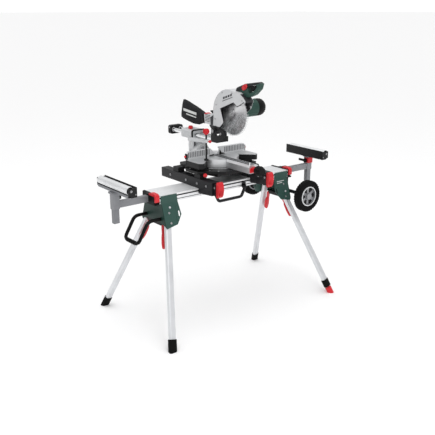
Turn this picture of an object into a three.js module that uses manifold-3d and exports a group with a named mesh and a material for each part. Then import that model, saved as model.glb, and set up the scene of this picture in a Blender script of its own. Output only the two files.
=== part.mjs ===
// Sliding mitre saw clamped to a folding leg stand with roller extensions.
// Millimetres, +Z up, +X to the operator's right, -Y towards the operator.
import * as THREE from "three";
import { mergeVertices } from "three/addons/utils/BufferGeometryUtils.js";
import Module from "manifold-3d";

const wasm = await Module();
wasm.setup();

// ---------------------------------------------------------------- driving dimensions
const GAP = 0.3; // clearance between pieces that touch
const RUN = 0.4; // radial clearance of a pin or rod that turns or slides

// Beam of the stand
const BEAM_HALF_LENGTH = 484;
const BEAM_HALF_WIDTH = 77;
const BEAM_BOTTOM = 728;
const BEAM_TOP = 774;
const BEAM_WALL = 4;
const SLOT_HEIGHT = 8;
const SLOT_DEPTH = 9;
const SLOT_Z = 760;
const CAP_LENGTH = 10;
const CAP_BLOCK_LENGTH = 32;
const COLLAR_LENGTH = [32, 72]; // left and right
const CAP_WALL = 4;

// Legs: one straight line each, from a foot on the floor to a hinge under the beam
const FOOT_X = BEAM_HALF_LENGTH + 134;
const FOOT_Y = 370;
const LEFT_HINGE_Z = 690;
const LEFT_HINGE_X = BEAM_HALF_LENGTH - 56.923;
const LEFT_HINGE_Y = 62.95;
const LEG_SPLAY_X = (FOOT_X - LEFT_HINGE_X) / LEFT_HINGE_Z; // outward run along X per unit of height
const LEG_SPLAY_Y = (FOOT_Y - LEFT_HINGE_Y) / LEFT_HINGE_Z; // outward run along Y per unit of height
const RIGHT_HINGE_Z = 640;
const LEG_WIDTH = 40;
const LEG_DEPTH = 26;
const LEG_WALL = 2.5;
const LEG_HEAD = 24; // leg above its hinge
const FOOT_CAP_HEIGHT = 46;
const FOOT_CAP_WALL = 3;
const LEVEL_FOOT_HEIGHT = 38;
const LEVEL_FOOT_RADIUS = 20;
const LEVEL_GAP = 7;
const LEVEL_STUD_RADIUS = 6;

// Green leg housings
const HOUSING_SHEET = 4;
const HOUSING_TOP = 771;
const HOUSING_TIP_Z = 593;
const HOUSING_END_Z = 606;
const LEG_TO_END_PLATE = 1.93;
const LEG_TO_SIDE_SHEET = 0.656;
const HOUSING_OUTER_X =
  FOOT_X -
  LEG_SPLAY_X * HOUSING_END_Z +
  (LEG_WIDTH / 2) * Math.hypot(1, LEG_SPLAY_X) +
  LEG_TO_END_PLATE +
  HOUSING_SHEET;
const HOUSING_TIP_Y =
  FOOT_Y - LEG_SPLAY_Y * HOUSING_TIP_Z + (LEG_DEPTH / 2) * Math.hypot(1, LEG_SPLAY_Y) + LEG_TO_SIDE_SHEET;
const STRAP_Z = 601;
const STRAP_HEIGHT = 19;
const STRAP_HALF_WIDTH = 67;
const HINGE_PIN_RADIUS = 6;

// Leg release levers
const LEVER_X = HOUSING_OUTER_X - 22;
const LEVER_Y = 61;
const LEVER_WIDTH = 16;
const LEVER_PIVOT_Z = 609;
const LEVER_LENGTH = 142;

// Carry handle, beam handle, wheels
const CARRY_HALF_WIDTH = 70;
const CARRY_RADIUS = 10;
const HANDLE_HALF_WIDTH = 118;
const HANDLE_DROP_Z = 676;
const HANDLE_RADIUS = 9;
const WHEEL_X = HOUSING_OUTER_X + 12;
const WHEEL_Z = 642;
const WHEEL_RADIUS = 97.5;
const WHEEL_WIDTH = 46;
const WHEEL_FACE_Y = 271;
const RIM_RADIUS = 62;
const AXLE_RADIUS = 8;

// Extensions with height posts and rollers
const TUBE_HALF_WIDTH = 14;
const TUBE_HEIGHT = 36;
const TUBE_WALL = 2.5;
const TUBE_Z = 751;
const TUBE_INNER_X = 120;
const POST_X = [-BEAM_HALF_LENGTH - 232, BEAM_HALF_LENGTH + 260.5]; // left and right post centres
const POST_WIDTH = 33;
const POST_DEPTH = 26;
const POST_BOTTOM = 648;
const SLEEVE_BOTTOM = 728;
const SLEEVE_TOP = 812;
const SLEEVE_WALL = 3;
const HEAD_BOTTOM = 822;
const HEAD_HEIGHT = 54;
const HEAD_INNER_OFFSET = 40; // from the post's centre in to the black plate's face
const HEAD_HALF_LENGTH = 165;
const HEAD_WALL = 4;
const ROLLER_RADIUS = 22;
const ROLLER_OFFSET = -5; // outward of the post's centre
const ROLLER_Z = 858;

// Saw mounts across the beam
const MOUNT_X = 194.5;
const MOUNT_WIDTH = 51;
const MOUNT_TOP = 829;
const MOUNT_FRONT = -204;
const MOUNT_BACK = 295;
const MOUNT_DEPTH = 82;
const MOUNT_WALL = 4;
const MOUNT_LEVER_X = 187;
const MOUNT_LEVER_WIDTH = 38;

// Saw table
const TABLE_TOP = 918;
const TABLE_CENTRE_Y = 30;
const DRUM_RADIUS = 130;
const DRUM_BOTTOM = 872;
const ARM_HALF_WIDTH = 34;
const ARM_END_Y = -302;
const KERF_HALF_WIDTH = 8;
const KERF_DEPTH = 12;
const KERF_FRONT_Y = -292;
const KERF_BACK_Y = 64;
const MITRE_LIMIT = 47; // degrees each way
const BASE_TOP = 868;
const FIXED_TABLE_X = 138;
const WING_OUTER_X = 220;
const WING_FRONT_Y = -95;
const WING_THICKNESS = 33;
const FENCE_THICKNESS = 17;
const FENCE_TOP = 964;
const FENCE_INNER_X = 15;
const FENCE_OUTER_X = 218;

// Bevel arm and slide rails; the bevel pivot line lies on the table top
const HUB_FRONT_Y = 168;
const HUB_BACK_Y = 204;
const HUB_RADIUS = 48;
const COLUMN_HALF_WIDTH = 46;
const COLUMN_DEPTH = 44;
const RAIL_Z = 1017;
const RAIL_X = 25;
const RAIL_RADIUS = 12;
const CARRIER_FRONT_Y = 211;
const CARRIER_BACK_Y = 325;
const CARRIER_HALF_WIDTH = 48;
const CARRIER_BOTTOM = 990;
const CARRIER_TOP = 1044;
const RAIL_CAP_Y = 442;
const RAIL_CAP_LENGTH = 28;
const LOCK_X = -22;
const LOCK_Y = 262;

// Saw head
const BLADE_Y = -111;
const BLADE_Z = 1184;
const BLADE_RADIUS = 127;
const BLADE_THICKNESS = 2.4;
const BLADE_TEETH = 48;
const CHOP_Y = 12;
const CHOP_Z = 1068;
const CHOP_PIN_RADIUS = 8;
const EAR_RADIUS = 21;
const KNUCKLE_HALF_WIDTH = 29;
const EAR_THICKNESS = 13;
const BLADE_TO_GUARD = 7;
const GUARD_RADIUS = BLADE_RADIUS + BLADE_TO_GUARD;
const DRAWN_GUARD_RADIUS = 134; // the outlines of the hood and the handle are drawn for this hood
const GUARD_WALL = 3;
const GUARD_LEFT = -34;
const GUARD_RIGHT = 26;
const LOWER_GUARD_RADIUS = GUARD_RADIUS - 4;
const LOWER_GUARD_HALF_WIDTH = 10;
const LOWER_GUARD_WALL = 1.4;
const MOTOR_Y = -103;
const MOTOR_Z = 1200;
const MOTOR_RADIUS = 49;
const MOTOR_START = 60;
const MOTOR_END = 232;
const MOTOR_WALL = 3;
const BUTTON_DRAWN = [-222, 1335];
const HANDLE_X = 5;
const HANDLE_WIDTH = 30;
const TRIGGER_HALF_WIDTH = 9;
const BUTTON_RADIUS = 13;
const BAG_HALF_WIDTH = 25;

// Hold-down clamp
const CLAMP_X = -138;
const CLAMP_Y = -46;
const CLAMP_POST_X = -174;
const CLAMP_POST_Y = 62;
const CLAMP_ARM_Z = 1022;
const CLAMP_KNOB_RADIUS = 17;
const CLAMP_KNOB_TOP = 1100;

// ---------------------------------------------------------------- colours
const SILVER = { color: 0xd4d7d9, roughness: 0.38, metalness: 0.75 };
const LEG_GREY = { color: 0xc9cccd, roughness: 0.42, metalness: 0.7 };
const STEEL_GREY = { color: 0x565b60, roughness: 0.5, metalness: 0.6 };
const GREEN = { color: 0x2c4a40, roughness: 0.55, metalness: 0.1 };
const BLACK = { color: 0x1b1c1e, roughness: 0.6, metalness: 0.05 };
const RUBBER = { color: 0x161617, roughness: 0.85, metalness: 0 };
const RED = { color: 0xd2202b, roughness: 0.45, metalness: 0 };
const WHITE_CAST = { color: 0xdfe1e2, roughness: 0.45, metalness: 0.35 };
const BLADE_STEEL = { color: 0xb4b7ba, roughness: 0.3, metalness: 0.9 };
const CLEAR = { color: 0xdfe8ea, roughness: 0.1, metalness: 0, transparent: true, opacity: 0.35 };
const FABRIC = { color: 0x2a2b2d, roughness: 0.95, metalness: 0 };
const COPPER = { color: 0xa86b3c, roughness: 0.5, metalness: 0.7 };

// ---------------------------------------------------------------- geometry helpers
function toSolid(geometry) {
  const bare = geometry.clone();
  bare.deleteAttribute("normal");
  bare.deleteAttribute("uv");
  const merged = mergeVertices(bare, 1e-4);
  return new wasm.Manifold(
    new wasm.Mesh({
      numProp: 3,
      vertProperties: merged.attributes.position.array,
      triVerts: new Uint32Array(merged.index.array),
    }),
  );
}

function toGeometry(solid) {
  const { vertProperties, triVerts } = solid.getMesh();
  const geometry = new THREE.BufferGeometry();
  geometry.setAttribute("position", new THREE.BufferAttribute(vertProperties.slice(), 3));
  geometry.setIndex(new THREE.BufferAttribute(triVerts.slice(), 1));
  geometry.computeVertexNormals();
  return geometry;
}

// Joins the first list of geometries and cuts the second list out of the result.
function build(joined, removed = []) {
  let solid = toSolid(joined[0]);
  for (const piece of joined.slice(1)) solid = solid.add(toSolid(piece));
  for (const piece of removed) solid = solid.subtract(toSolid(piece));
  return toGeometry(solid);
}

function overlap(a, b) {
  return toGeometry(toSolid(a).intersect(toSolid(b)));
}

function box(x0, x1, y0, y1, z0, z1) {
  const geometry = new THREE.BoxGeometry(Math.abs(x1 - x0), y1 - y0, z1 - z0);
  return geometry.translate((x0 + x1) / 2, (y0 + y1) / 2, (z0 + z1) / 2);
}

// Rods along each axis, from one station to another.
function rodX(radius, x0, x1, y, z, sides = 24, endRadius = radius) {
  const geometry = new THREE.CylinderGeometry(endRadius, radius, Math.abs(x1 - x0), sides);
  geometry.rotateZ(x1 > x0 ? -Math.PI / 2 : Math.PI / 2);
  return geometry.translate((x0 + x1) / 2, y, z);
}

function rodY(radius, y0, y1, x, z, sides = 24, endRadius = radius) {
  const geometry = new THREE.CylinderGeometry(endRadius, radius, Math.abs(y1 - y0), sides);
  if (y1 < y0) geometry.rotateX(Math.PI);
  return geometry.translate(x, (y0 + y1) / 2, z);
}

function rodZ(radius, z0, z1, x, y, sides = 24, endRadius = radius) {
  const geometry = new THREE.CylinderGeometry(endRadius, radius, z1 - z0, sides);
  return geometry.rotateX(Math.PI / 2).translate(x, y, (z0 + z1) / 2);
}

function outline(points, holes = []) {
  const shape = new THREE.Shape(points.map(([a, b]) => new THREE.Vector2(a, b)));
  for (const hole of holes) {
    shape.holes.push(new THREE.Path(hole.map(([a, b]) => new THREE.Vector2(a, b))));
  }
  return shape;
}

function extrude(shape, depth) {
  return new THREE.ExtrudeGeometry(shape, { depth, bevelEnabled: false, curveSegments: 12 });
}

// Plates of a given outline: [y, z] along X, [x, z] along Y, [x, y] along Z.
function plateX(points, x0, x1, holes = []) {
  const geometry = extrude(outline(points, holes), x1 - x0);
  const basis = new THREE.Matrix4().set(0, 0, 1, x0, 1, 0, 0, 0, 0, 1, 0, 0, 0, 0, 0, 1);
  return geometry.applyMatrix4(basis);
}

function plateY(points, y0, y1, holes = []) {
  return extrude(outline(points, holes), y1 - y0).rotateX(Math.PI / 2).translate(0, y1, 0);
}

function plateZ(points, z0, z1, holes = []) {
  return extrude(outline(points, holes), z1 - z0).translate(0, 0, z0);
}

function onCircle(centreA, centreB, radius, degrees) {
  const angle = THREE.MathUtils.degToRad(degrees);
  return [centreA + radius * Math.cos(angle), centreB + radius * Math.sin(angle)];
}

function arc(centreA, centreB, radius, fromDeg, toDeg, steps) {
  return Array.from({ length: steps + 1 }, (_, i) =>
    onCircle(centreA, centreB, radius, fromDeg + ((toDeg - fromDeg) * i) / steps),
  );
}

function rectangle(a0, a1, b0, b1) {
  return [[a0, b0], [a1, b0], [a1, b1], [a0, b1]];
}

// Rectangle with rounded corners.
function rounded(a0, a1, b0, b1, radius, steps = 3) {
  return [
    ...arc(a1 - radius, b0 + radius, radius, -90, 0, steps),
    ...arc(a1 - radius, b1 - radius, radius, 0, 90, steps),
    ...arc(a0 + radius, b1 - radius, radius, 90, 180, steps),
    ...arc(a0 + radius, b0 + radius, radius, 180, 270, steps),
  ];
}

const mirrored = (points, side) => points.map(([a, b]) => [a * side, b]);

// A round bar bent along straight runs with rounded corners.
function bentBar(points, radius, bend, sides = 10) {
  const corners = points.map((p) => new THREE.Vector3(...p));
  const path = new THREE.CurvePath();
  let from = corners[0];
  for (let i = 1; i < corners.length - 1; i++) {
    const into = corners[i].clone().sub(corners[i - 1]).setLength(bend);
    const out = corners[i + 1].clone().sub(corners[i]).setLength(bend);
    const before = corners[i].clone().sub(into);
    const after = corners[i].clone().add(out);
    path.add(new THREE.LineCurve3(from, before));
    path.add(new THREE.QuadraticBezierCurve3(before, corners[i], after));
    from = after;
  }
  path.add(new THREE.LineCurve3(from, corners[corners.length - 1]));
  const section = new THREE.Shape().absarc(0, 0, radius, 0, 2 * Math.PI);
  return new THREE.ExtrudeGeometry(section, {
    steps: 40,
    extrudePath: path,
    curveSegments: sides / 2,
  });
}

// ---------------------------------------------------------------- scene graph helpers
const root = new THREE.Group();

function assembly(parent, name) {
  const group = new THREE.Group();
  group.name = name;
  parent.add(group);
  return group;
}

function addMesh(parent, name, geometry, finish) {
  const mesh = new THREE.Mesh(geometry, new THREE.MeshStandardMaterial(finish));
  mesh.name = name;
  parent.add(mesh);
  return mesh;
}

const SIDES = [
  { word: "left", x: -1 },
  { word: "right", x: 1 },
];
const ENDS = [
  { word: "front", y: -1 },
  { word: "back", y: 1 },
];

// ---------------------------------------------------------------- stand
const stand = assembly(root, "stand");

function beam() {
  const tubeHalf = TUBE_HALF_WIDTH + RUN;
  const slotFloor = BEAM_HALF_WIDTH - SLOT_DEPTH;
  const end = BEAM_HALF_LENGTH;
  const past = end + 5;
  const bars = box(-end, end, -BEAM_HALF_WIDTH, BEAM_HALF_WIDTH, BEAM_BOTTOM, BEAM_TOP);
  const tubeBay = box(
    -past,
    past,
    -tubeHalf,
    tubeHalf,
    TUBE_Z - TUBE_HEIGHT / 2 - RUN,
    TUBE_Z + TUBE_HEIGHT / 2 + RUN,
  );
  const cuts = ENDS.flatMap(({ y }) => {
    const bay = [y * (tubeHalf + BEAM_WALL), y * (slotFloor - BEAM_WALL)].sort((a, b) => a - b);
    const slot = [y * slotFloor, y * (BEAM_HALF_WIDTH + 5)].sort((a, b) => a - b);
    return [
      box(-past, past, bay[0], bay[1], BEAM_BOTTOM + BEAM_WALL, BEAM_TOP - BEAM_WALL),
      box(-past, past, slot[0], slot[1], SLOT_Z - SLOT_HEIGHT / 2, SLOT_Z + SLOT_HEIGHT / 2),
    ];
  });
  return build([bars], [tubeBay, ...cuts]);
}

function endCap(side) {
  const inner = BEAM_HALF_LENGTH + GAP;
  const width = BEAM_HALF_WIDTH + CAP_WALL / 2;
  const z0 = BEAM_BOTTOM - CAP_WALL;
  const z1 = BEAM_TOP + CAP_WALL;
  const plateEdge = Math.min(side * inner, side * (inner + CAP_LENGTH));
  const plate = plateX(rounded(-width, width, z0, z1, 8), plateEdge, plateEdge + CAP_LENGTH);
  const leverBlock = box(side * inner, side * (inner + CAP_BLOCK_LENGTH), -width, 20, z0, z1);
  const collarEnd = side * (inner + COLLAR_LENGTH[side < 0 ? 0 : 1]);
  const collar = box(
    side * inner,
    collarEnd,
    -TUBE_HALF_WIDTH - 8,
    TUBE_HALF_WIDTH + 8,
    TUBE_Z - TUBE_HEIGHT / 2 - 7,
    TUBE_Z + TUBE_HEIGHT / 2 + 6,
  );
  const hole = box(
    side * (inner - 5),
    collarEnd + side * 5,
    -TUBE_HALF_WIDTH - RUN,
    TUBE_HALF_WIDTH + RUN,
    TUBE_Z - TUBE_HEIGHT / 2 - RUN,
    TUBE_Z + TUBE_HEIGHT / 2 + RUN,
  );
  // the recess that the clamp lever folds into
  const recessInner = side * (inner + 4);
  const recessOuter = side * (inner + CAP_BLOCK_LENGTH + 2);
  const recess = box(recessInner, recessOuter, -width - 10, -12, BEAM_TOP - 2, BEAM_TOP + 20);
  const frontRecess = box(recessInner, recessOuter, -width - 10, -width + 8, BEAM_BOTTOM + 4, BEAM_TOP + 20);
  return build([plate, leverBlock, collar], [hole, recess, frontRecess]);
}

// Clamp lever of an extension: it wraps over the front edge of the end cap.
function extensionLever(side) {
  const inner = BEAM_HALF_LENGTH + GAP + 4.5;
  const width = CAP_BLOCK_LENGTH - 6;
  const x0 = Math.min(side * inner, side * (inner + width));
  const front = -BEAM_HALF_WIDTH;
  const points = [
    [-20, BEAM_TOP],
    [-20, BEAM_TOP + 11],
    [-32, BEAM_TOP + 14],
    ...arc(front + 12, BEAM_TOP - 6, 20, 80, 175, 6),
    [front - 7, BEAM_BOTTOM + 14],
    [front + 4, BEAM_BOTTOM + 12],
    [front + 5.5, BEAM_TOP - 0.5],
  ];
  return plateX(points, x0, x0 + width);
}

// Distance of a housing sheet's inner face from the mid plane: the sheets lean out downwards.
const HOUSING_FLAT_Y = BEAM_HALF_WIDTH + GAP;
const HOUSING_LEAN = (HOUSING_TIP_Y - HOUSING_FLAT_Y) / (BEAM_BOTTOM - HOUSING_TIP_Z);

function housingY(z) {
  return HOUSING_FLAT_Y + Math.max(0, BEAM_BOTTOM - z) * HOUSING_LEAN;
}

function legHousing(side) {
  const outer = HOUSING_OUTER_X;
  const face = mirrored(
    [
      [outer, HOUSING_TOP],
      [outer - 104, HOUSING_TOP],
      [outer - 118, 655],
      [outer - 82, 606],
      [outer - 8, HOUSING_TIP_Z],
      [outer, 606],
    ],
    side,
  );
  const x0 = Math.min(side * (outer - 118), side * outer);
  const sheets = ENDS.map(({ y }) => {
    const profile = [
      [y * housingY(HOUSING_TOP), HOUSING_TOP],
      [y * housingY(BEAM_BOTTOM), BEAM_BOTTOM],
      [y * housingY(560), 560],
      [y * (housingY(560) + HOUSING_SHEET), 560],
      [y * (housingY(BEAM_BOTTOM) + HOUSING_SHEET), BEAM_BOTTOM],
      [y * (housingY(HOUSING_TOP) + HOUSING_SHEET), HOUSING_TOP],
    ];
    return overlap(plateX(profile, x0, x0 + 118), plateY(face, -160, 160));
  });
  const endFace = [
    [-housingY(BEAM_BOTTOM) - 2, BEAM_BOTTOM - GAP],
    [-housingY(606) - 2, 606],
    [-housingY(606) + 30, STRAP_Z + 10],
    [housingY(606) - 30, STRAP_Z + 10],
    [housingY(606) + 2, 606],
    [housingY(BEAM_BOTTOM) + 2, BEAM_BOTTOM - GAP],
  ];
  const faceX = Math.min(side * (outer - HOUSING_SHEET), side * outer);
  const end = plateX(endFace, faceX, faceX + HOUSING_SHEET);
  const bridge = box(
    side * (outer - 104),
    side * (outer - 1),
    -housingY(BEAM_BOTTOM) - 1,
    housingY(BEAM_BOTTOM) + 1,
    BEAM_BOTTOM - GAP - HOUSING_SHEET,
    BEAM_BOTTOM - GAP,
  );
  const strap = box(
    side * (outer - 34),
    side * (outer - 2),
    -STRAP_HALF_WIDTH,
    STRAP_HALF_WIDTH,
    STRAP_Z,
    STRAP_Z + STRAP_HEIGHT,
  );
  const window = plateY(
    mirrored(rounded(outer - 110, outer - 99, 645, 677, 5, 2), side),
    -160,
    160,
  );
  const clevisSlots = ENDS.map(({ y }) =>
    box(
      side * (LEVER_X - LEVER_WIDTH / 2 - 5),
      side * (LEVER_X + LEVER_WIDTH / 2 + 5),
      y * LEVER_Y - LEVER_WIDTH / 2 - 4,
      y * LEVER_Y + LEVER_WIDTH / 2 + 4,
      STRAP_Z - 5,
      STRAP_Z + STRAP_HEIGHT - 3,
    ),
  );
  const pinHoles = ENDS.map(({ y }) => {
    const group = legGroup(side, y);
    return hingePin(group, HINGE_PIN_RADIUS + RUN, 10).applyMatrix4(group.matrix);
  });
  return build([bridge, ...sheets, end, strap], [window, ...clevisSlots, ...pinHoles]);
}

// A bent tube that the operator pulls to roll the folded stand on its wheels.
function carryHandle() {
  const x = -HOUSING_OUTER_X - GAP;
  const half = CARRY_HALF_WIDTH;
  return build([
    bentBar(
      [
        [x, half, 640],
        [x - 80, half, 640],
        [x - 149, half, 524],
        [x - 149, -half, 524],
        [x - 80, -half, 640],
        [x, -half, 640],
      ],
      CARRY_RADIUS,
      26,
    ),
  ]);
}

function beamHandle() {
  const y = -BEAM_HALF_WIDTH - 18;
  const plateY0 = -BEAM_HALF_WIDTH - GAP;
  const bar = bentBar(
    [
      [-HANDLE_HALF_WIDTH, plateY0 - 2, 738],
      [-HANDLE_HALF_WIDTH, y, 738],
      [-HANDLE_HALF_WIDTH + 32, y, HANDLE_DROP_Z],
      [HANDLE_HALF_WIDTH - 32, y, HANDLE_DROP_Z],
      [HANDLE_HALF_WIDTH, y, 738],
      [HANDLE_HALF_WIDTH, plateY0 - 2, 738],
    ],
    HANDLE_RADIUS,
    12,
  );
  const pads = SIDES.map(({ x }) =>
    box(
      x * (HANDLE_HALF_WIDTH - 14),
      x * (HANDLE_HALF_WIDTH + 14),
      plateY0 - 4,
      plateY0,
      BEAM_BOTTOM + 1,
      SLOT_Z - SLOT_HEIGHT / 2 - 1,
    ),
  );
  return build([bar, ...pads]);
}

// Axle with the bracket that hangs it on the right housing's end face.
function wheelAxle() {
  const end = WHEEL_FACE_Y + 4;
  const axle = rodY(AXLE_RADIUS, -end, end, WHEEL_X, WHEEL_Z, 16);
  const shoulder = WHEEL_FACE_Y - WHEEL_WIDTH - 6;
  const thick = rodY(AXLE_RADIUS + 3, -shoulder, shoulder, WHEEL_X, WHEEL_Z, 16);
  const bracket = box(HOUSING_OUTER_X + GAP, WHEEL_X + 10, -70, 70, WHEEL_Z - 2, BEAM_BOTTOM - 8);
  return build([thick, axle, bracket]);
}

function tyre(side) {
  const face = WHEEL_FACE_Y;
  const profile = [
    [RIM_RADIUS + GAP, -WHEEL_WIDTH / 2 + 6],
    [RIM_RADIUS + 12, -WHEEL_WIDTH / 2],
    [WHEEL_RADIUS - 9, -WHEEL_WIDTH / 2],
    [WHEEL_RADIUS - 1, -WHEEL_WIDTH / 2 + 9],
    [WHEEL_RADIUS, 0],
    [WHEEL_RADIUS - 1, WHEEL_WIDTH / 2 - 9],
    [WHEEL_RADIUS - 9, WHEEL_WIDTH / 2],
    [RIM_RADIUS + 12, WHEEL_WIDTH / 2],
    [RIM_RADIUS + GAP, WHEEL_WIDTH / 2 - 6],
    [RIM_RADIUS + GAP, -WHEEL_WIDTH / 2 + 6],
  ].map(([r, t]) => new THREE.Vector2(r, t));
  const geometry = new THREE.LatheGeometry(profile, 40);
  return geometry.translate(WHEEL_X, side * (face - WHEEL_WIDTH / 2), WHEEL_Z);
}

// Rim: web with six holes, hub, and an inner band under the tyre.
function rim(side) {
  const outer = side * (WHEEL_FACE_Y - 6);
  const inner = side * (WHEEL_FACE_Y - WHEEL_WIDTH + 6);
  const web = side * (WHEEL_FACE_Y - 16);
  const band = rodY(RIM_RADIUS, inner, outer, WHEEL_X, WHEEL_Z, 36);
  const dish = rodY(RIM_RADIUS - 6, web, side * WHEEL_FACE_Y, WHEEL_X, WHEEL_Z, 36);
  const back = rodY(RIM_RADIUS - 6, web - side * 5, inner - side * 5, WHEEL_X, WHEEL_Z, 36);
  const hub = rodY(19, inner, side * (WHEEL_FACE_Y - 4), WHEEL_X, WHEEL_Z, 20);
  const bore = rodY(AXLE_RADIUS + RUN, inner - side * 9, outer + side * 20, WHEEL_X, WHEEL_Z, 16);
  const windows = Array.from({ length: 6 }, (_, i) => {
    const angle = (i * Math.PI) / 3;
    const x = WHEEL_X + 38 * Math.cos(angle);
    const z = WHEEL_Z + 38 * Math.sin(angle);
    return rodY(10, inner - side * 9, outer + side * 9, x, z, 14);
  });
  const shell = build([band], [dish, back]);
  return build([shell, hub], [bore, ...windows]);
}

addMesh(stand, "beam", beam(), SILVER);
for (const { word, x } of SIDES) {
  addMesh(stand, `end_cap_${word}`, endCap(x), BLACK);
  addMesh(stand, `leg_housing_${word}`, legHousing(x), GREEN);
  addMesh(stand, `extension_lever_${word}`, extensionLever(x), RED);
}
addMesh(stand, "carry_handle", carryHandle(), BLACK);
addMesh(stand, "beam_handle", beamHandle(), BLACK);
addMesh(stand, "wheel_axle", wheelAxle(), STEEL_GREY);
for (const { word, y } of ENDS) {
  addMesh(stand, `tyre_${word}`, tyre(y), RUBBER);
  addMesh(stand, `rim_${word}`, rim(y), STEEL_GREY);
}

// ---------------------------------------------------------------- legs
// Each leg group has its origin on the hinge, Z up the leg and Y out through the housing.
function legGroup(side, end) {
  const hingeZ = side < 0 ? LEFT_HINGE_Z : RIGHT_HINGE_Z;
  const hinge = new THREE.Vector3(
    side * (FOOT_X - LEG_SPLAY_X * hingeZ),
    end * (FOOT_Y - LEG_SPLAY_Y * hingeZ),
    hingeZ,
  );
  const up = new THREE.Vector3(-side * LEG_SPLAY_X, -end * LEG_SPLAY_Y, 1).normalize();
  const out = new THREE.Vector3(0, end, LEG_SPLAY_Y).normalize();
  const across = new THREE.Vector3().crossVectors(out, up);
  const group = new THREE.Group();
  group.position.copy(hinge);
  group.quaternion.setFromRotationMatrix(new THREE.Matrix4().makeBasis(across, out, up));
  group.updateMatrix();
  return group;
}

const FOOT_SLOPE = Math.hypot(1, LEG_SPLAY_X, LEG_SPLAY_Y);

// Hinge pin in the leg's own frame, out through the sloping sheet of the housing.
function hingePin(group, radius, extra) {
  const out = new THREE.Vector3(0, 1, 0).applyQuaternion(group.quaternion);
  const sheet = housingY(group.position.z) + HOUSING_SHEET - Math.abs(group.position.y);
  const reach = sheet / (Math.abs(out.y) + HOUSING_LEAN * out.z) + 3;
  return rodY(radius, 0, reach + extra, 0, 0, 16);
}

function legSection(width, depth, corner) {
  return rounded(-width / 2, width / 2, -depth / 2, depth / 2, corner);
}

function grooves(length, top) {
  return [-1, 1].flatMap((face) => {
    const y = face * (LEG_DEPTH / 2);
    return [-8, 8].map((x) => box(x - 1.5, x + 1.5, y - 1, y + 1, top - length - 5, top + 5));
  });
}

function legTube(bottom, group) {
  const inner = legSection(LEG_WIDTH - 2 * LEG_WALL, LEG_DEPTH - 2 * LEG_WALL, 8);
  const tube = plateZ(legSection(LEG_WIDTH, LEG_DEPTH, 10), bottom, LEG_HEAD, [inner]);
  return build([tube, hingePin(group, HINGE_PIN_RADIUS, 0)], grooves(LEG_HEAD - bottom, LEG_HEAD));
}

function floorIn(group) {
  const floor = box(-2 * FOOT_Y, 2 * FOOT_Y, -2 * FOOT_Y, 2 * FOOT_Y, -400, 0);
  floor.translate(group.position.x, group.position.y, 0);
  return floor.applyMatrix4(group.matrix.clone().invert());
}

function footCap(tubeEnd, bottom, group, bore) {
  const width = LEG_WIDTH + 2 * FOOT_CAP_WALL;
  const depth = LEG_DEPTH + 2 * FOOT_CAP_WALL;
  const body = plateZ(legSection(width, depth, 11), bottom, tubeEnd + FOOT_CAP_HEIGHT - 12);
  const pocket = plateZ(
    legSection(LEG_WIDTH + 2 * GAP, LEG_DEPTH + 2 * GAP, 10),
    tubeEnd - GAP,
    tubeEnd + FOOT_CAP_HEIGHT,
  );
  return build([body], [pocket, floorIn(group), ...bore]);
}

function levellingFoot(bottom, group) {
  const barrel = rodZ(LEVEL_FOOT_RADIUS, bottom - 20, bottom + LEVEL_FOOT_HEIGHT, 0, 0, 24);
  const stud = rodZ(LEVEL_STUD_RADIUS, bottom, bottom + LEVEL_FOOT_HEIGHT + LEVEL_GAP + 22, 0, 0, 14);
  return build([barrel, stud], [floorIn(group)]);
}

for (const { word: sideWord, x } of SIDES) {
  for (const { word: endWord, y } of ENDS) {
    const group = legGroup(x, y);
    const place = `${endWord}_${sideWord}`;
    const reach = -group.position.z * FOOT_SLOPE; // floor point of the leg's axis
    const levelled = place === "front_right";
    const capBottom = levelled ? reach + LEVEL_FOOT_HEIGHT + LEVEL_GAP : reach - 20;
    const tubeEnd = levelled ? capBottom + 14 : reach + 30;
    const bore = rodZ(LEVEL_STUD_RADIUS + RUN, capBottom - 5, tubeEnd + 5, 0, 0, 14);
    addMesh(group, `leg_${place}`, legTube(tubeEnd, group), LEG_GREY);
    addMesh(group, `foot_cap_${place}`, footCap(tubeEnd, capBottom, group, levelled ? [bore] : []), RUBBER);
    if (levelled) addMesh(group, "levelling_foot", levellingFoot(reach, group), RED);
    stand.add(group);
  }
}

// Red release levers hang from the strap under each housing, parallel to their legs.
function legLever(side, end) {
  const profile = [
    [-5, 3],
    [5, 3],
    [7, -10],
    [6, -80],
    [9, 14 - LEVER_LENGTH],
    [6, -LEVER_LENGTH],
    [-6, -LEVER_LENGTH],
    [-8, 14 - LEVER_LENGTH],
    [-4, -80],
    [-6, -10],
  ];
  const geometry = plateX(profile, -LEVER_WIDTH / 2, LEVER_WIDTH / 2);
  geometry.applyQuaternion(legGroup(side, end).quaternion);
  return geometry.translate(side * LEVER_X, end * LEVER_Y, LEVER_PIVOT_Z);
}

for (const { word: sideWord, x } of SIDES) {
  for (const { word: endWord, y } of ENDS) {
    addMesh(stand, `leg_lever_${endWord}_${sideWord}`, legLever(x, y), RED);
  }
}

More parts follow.
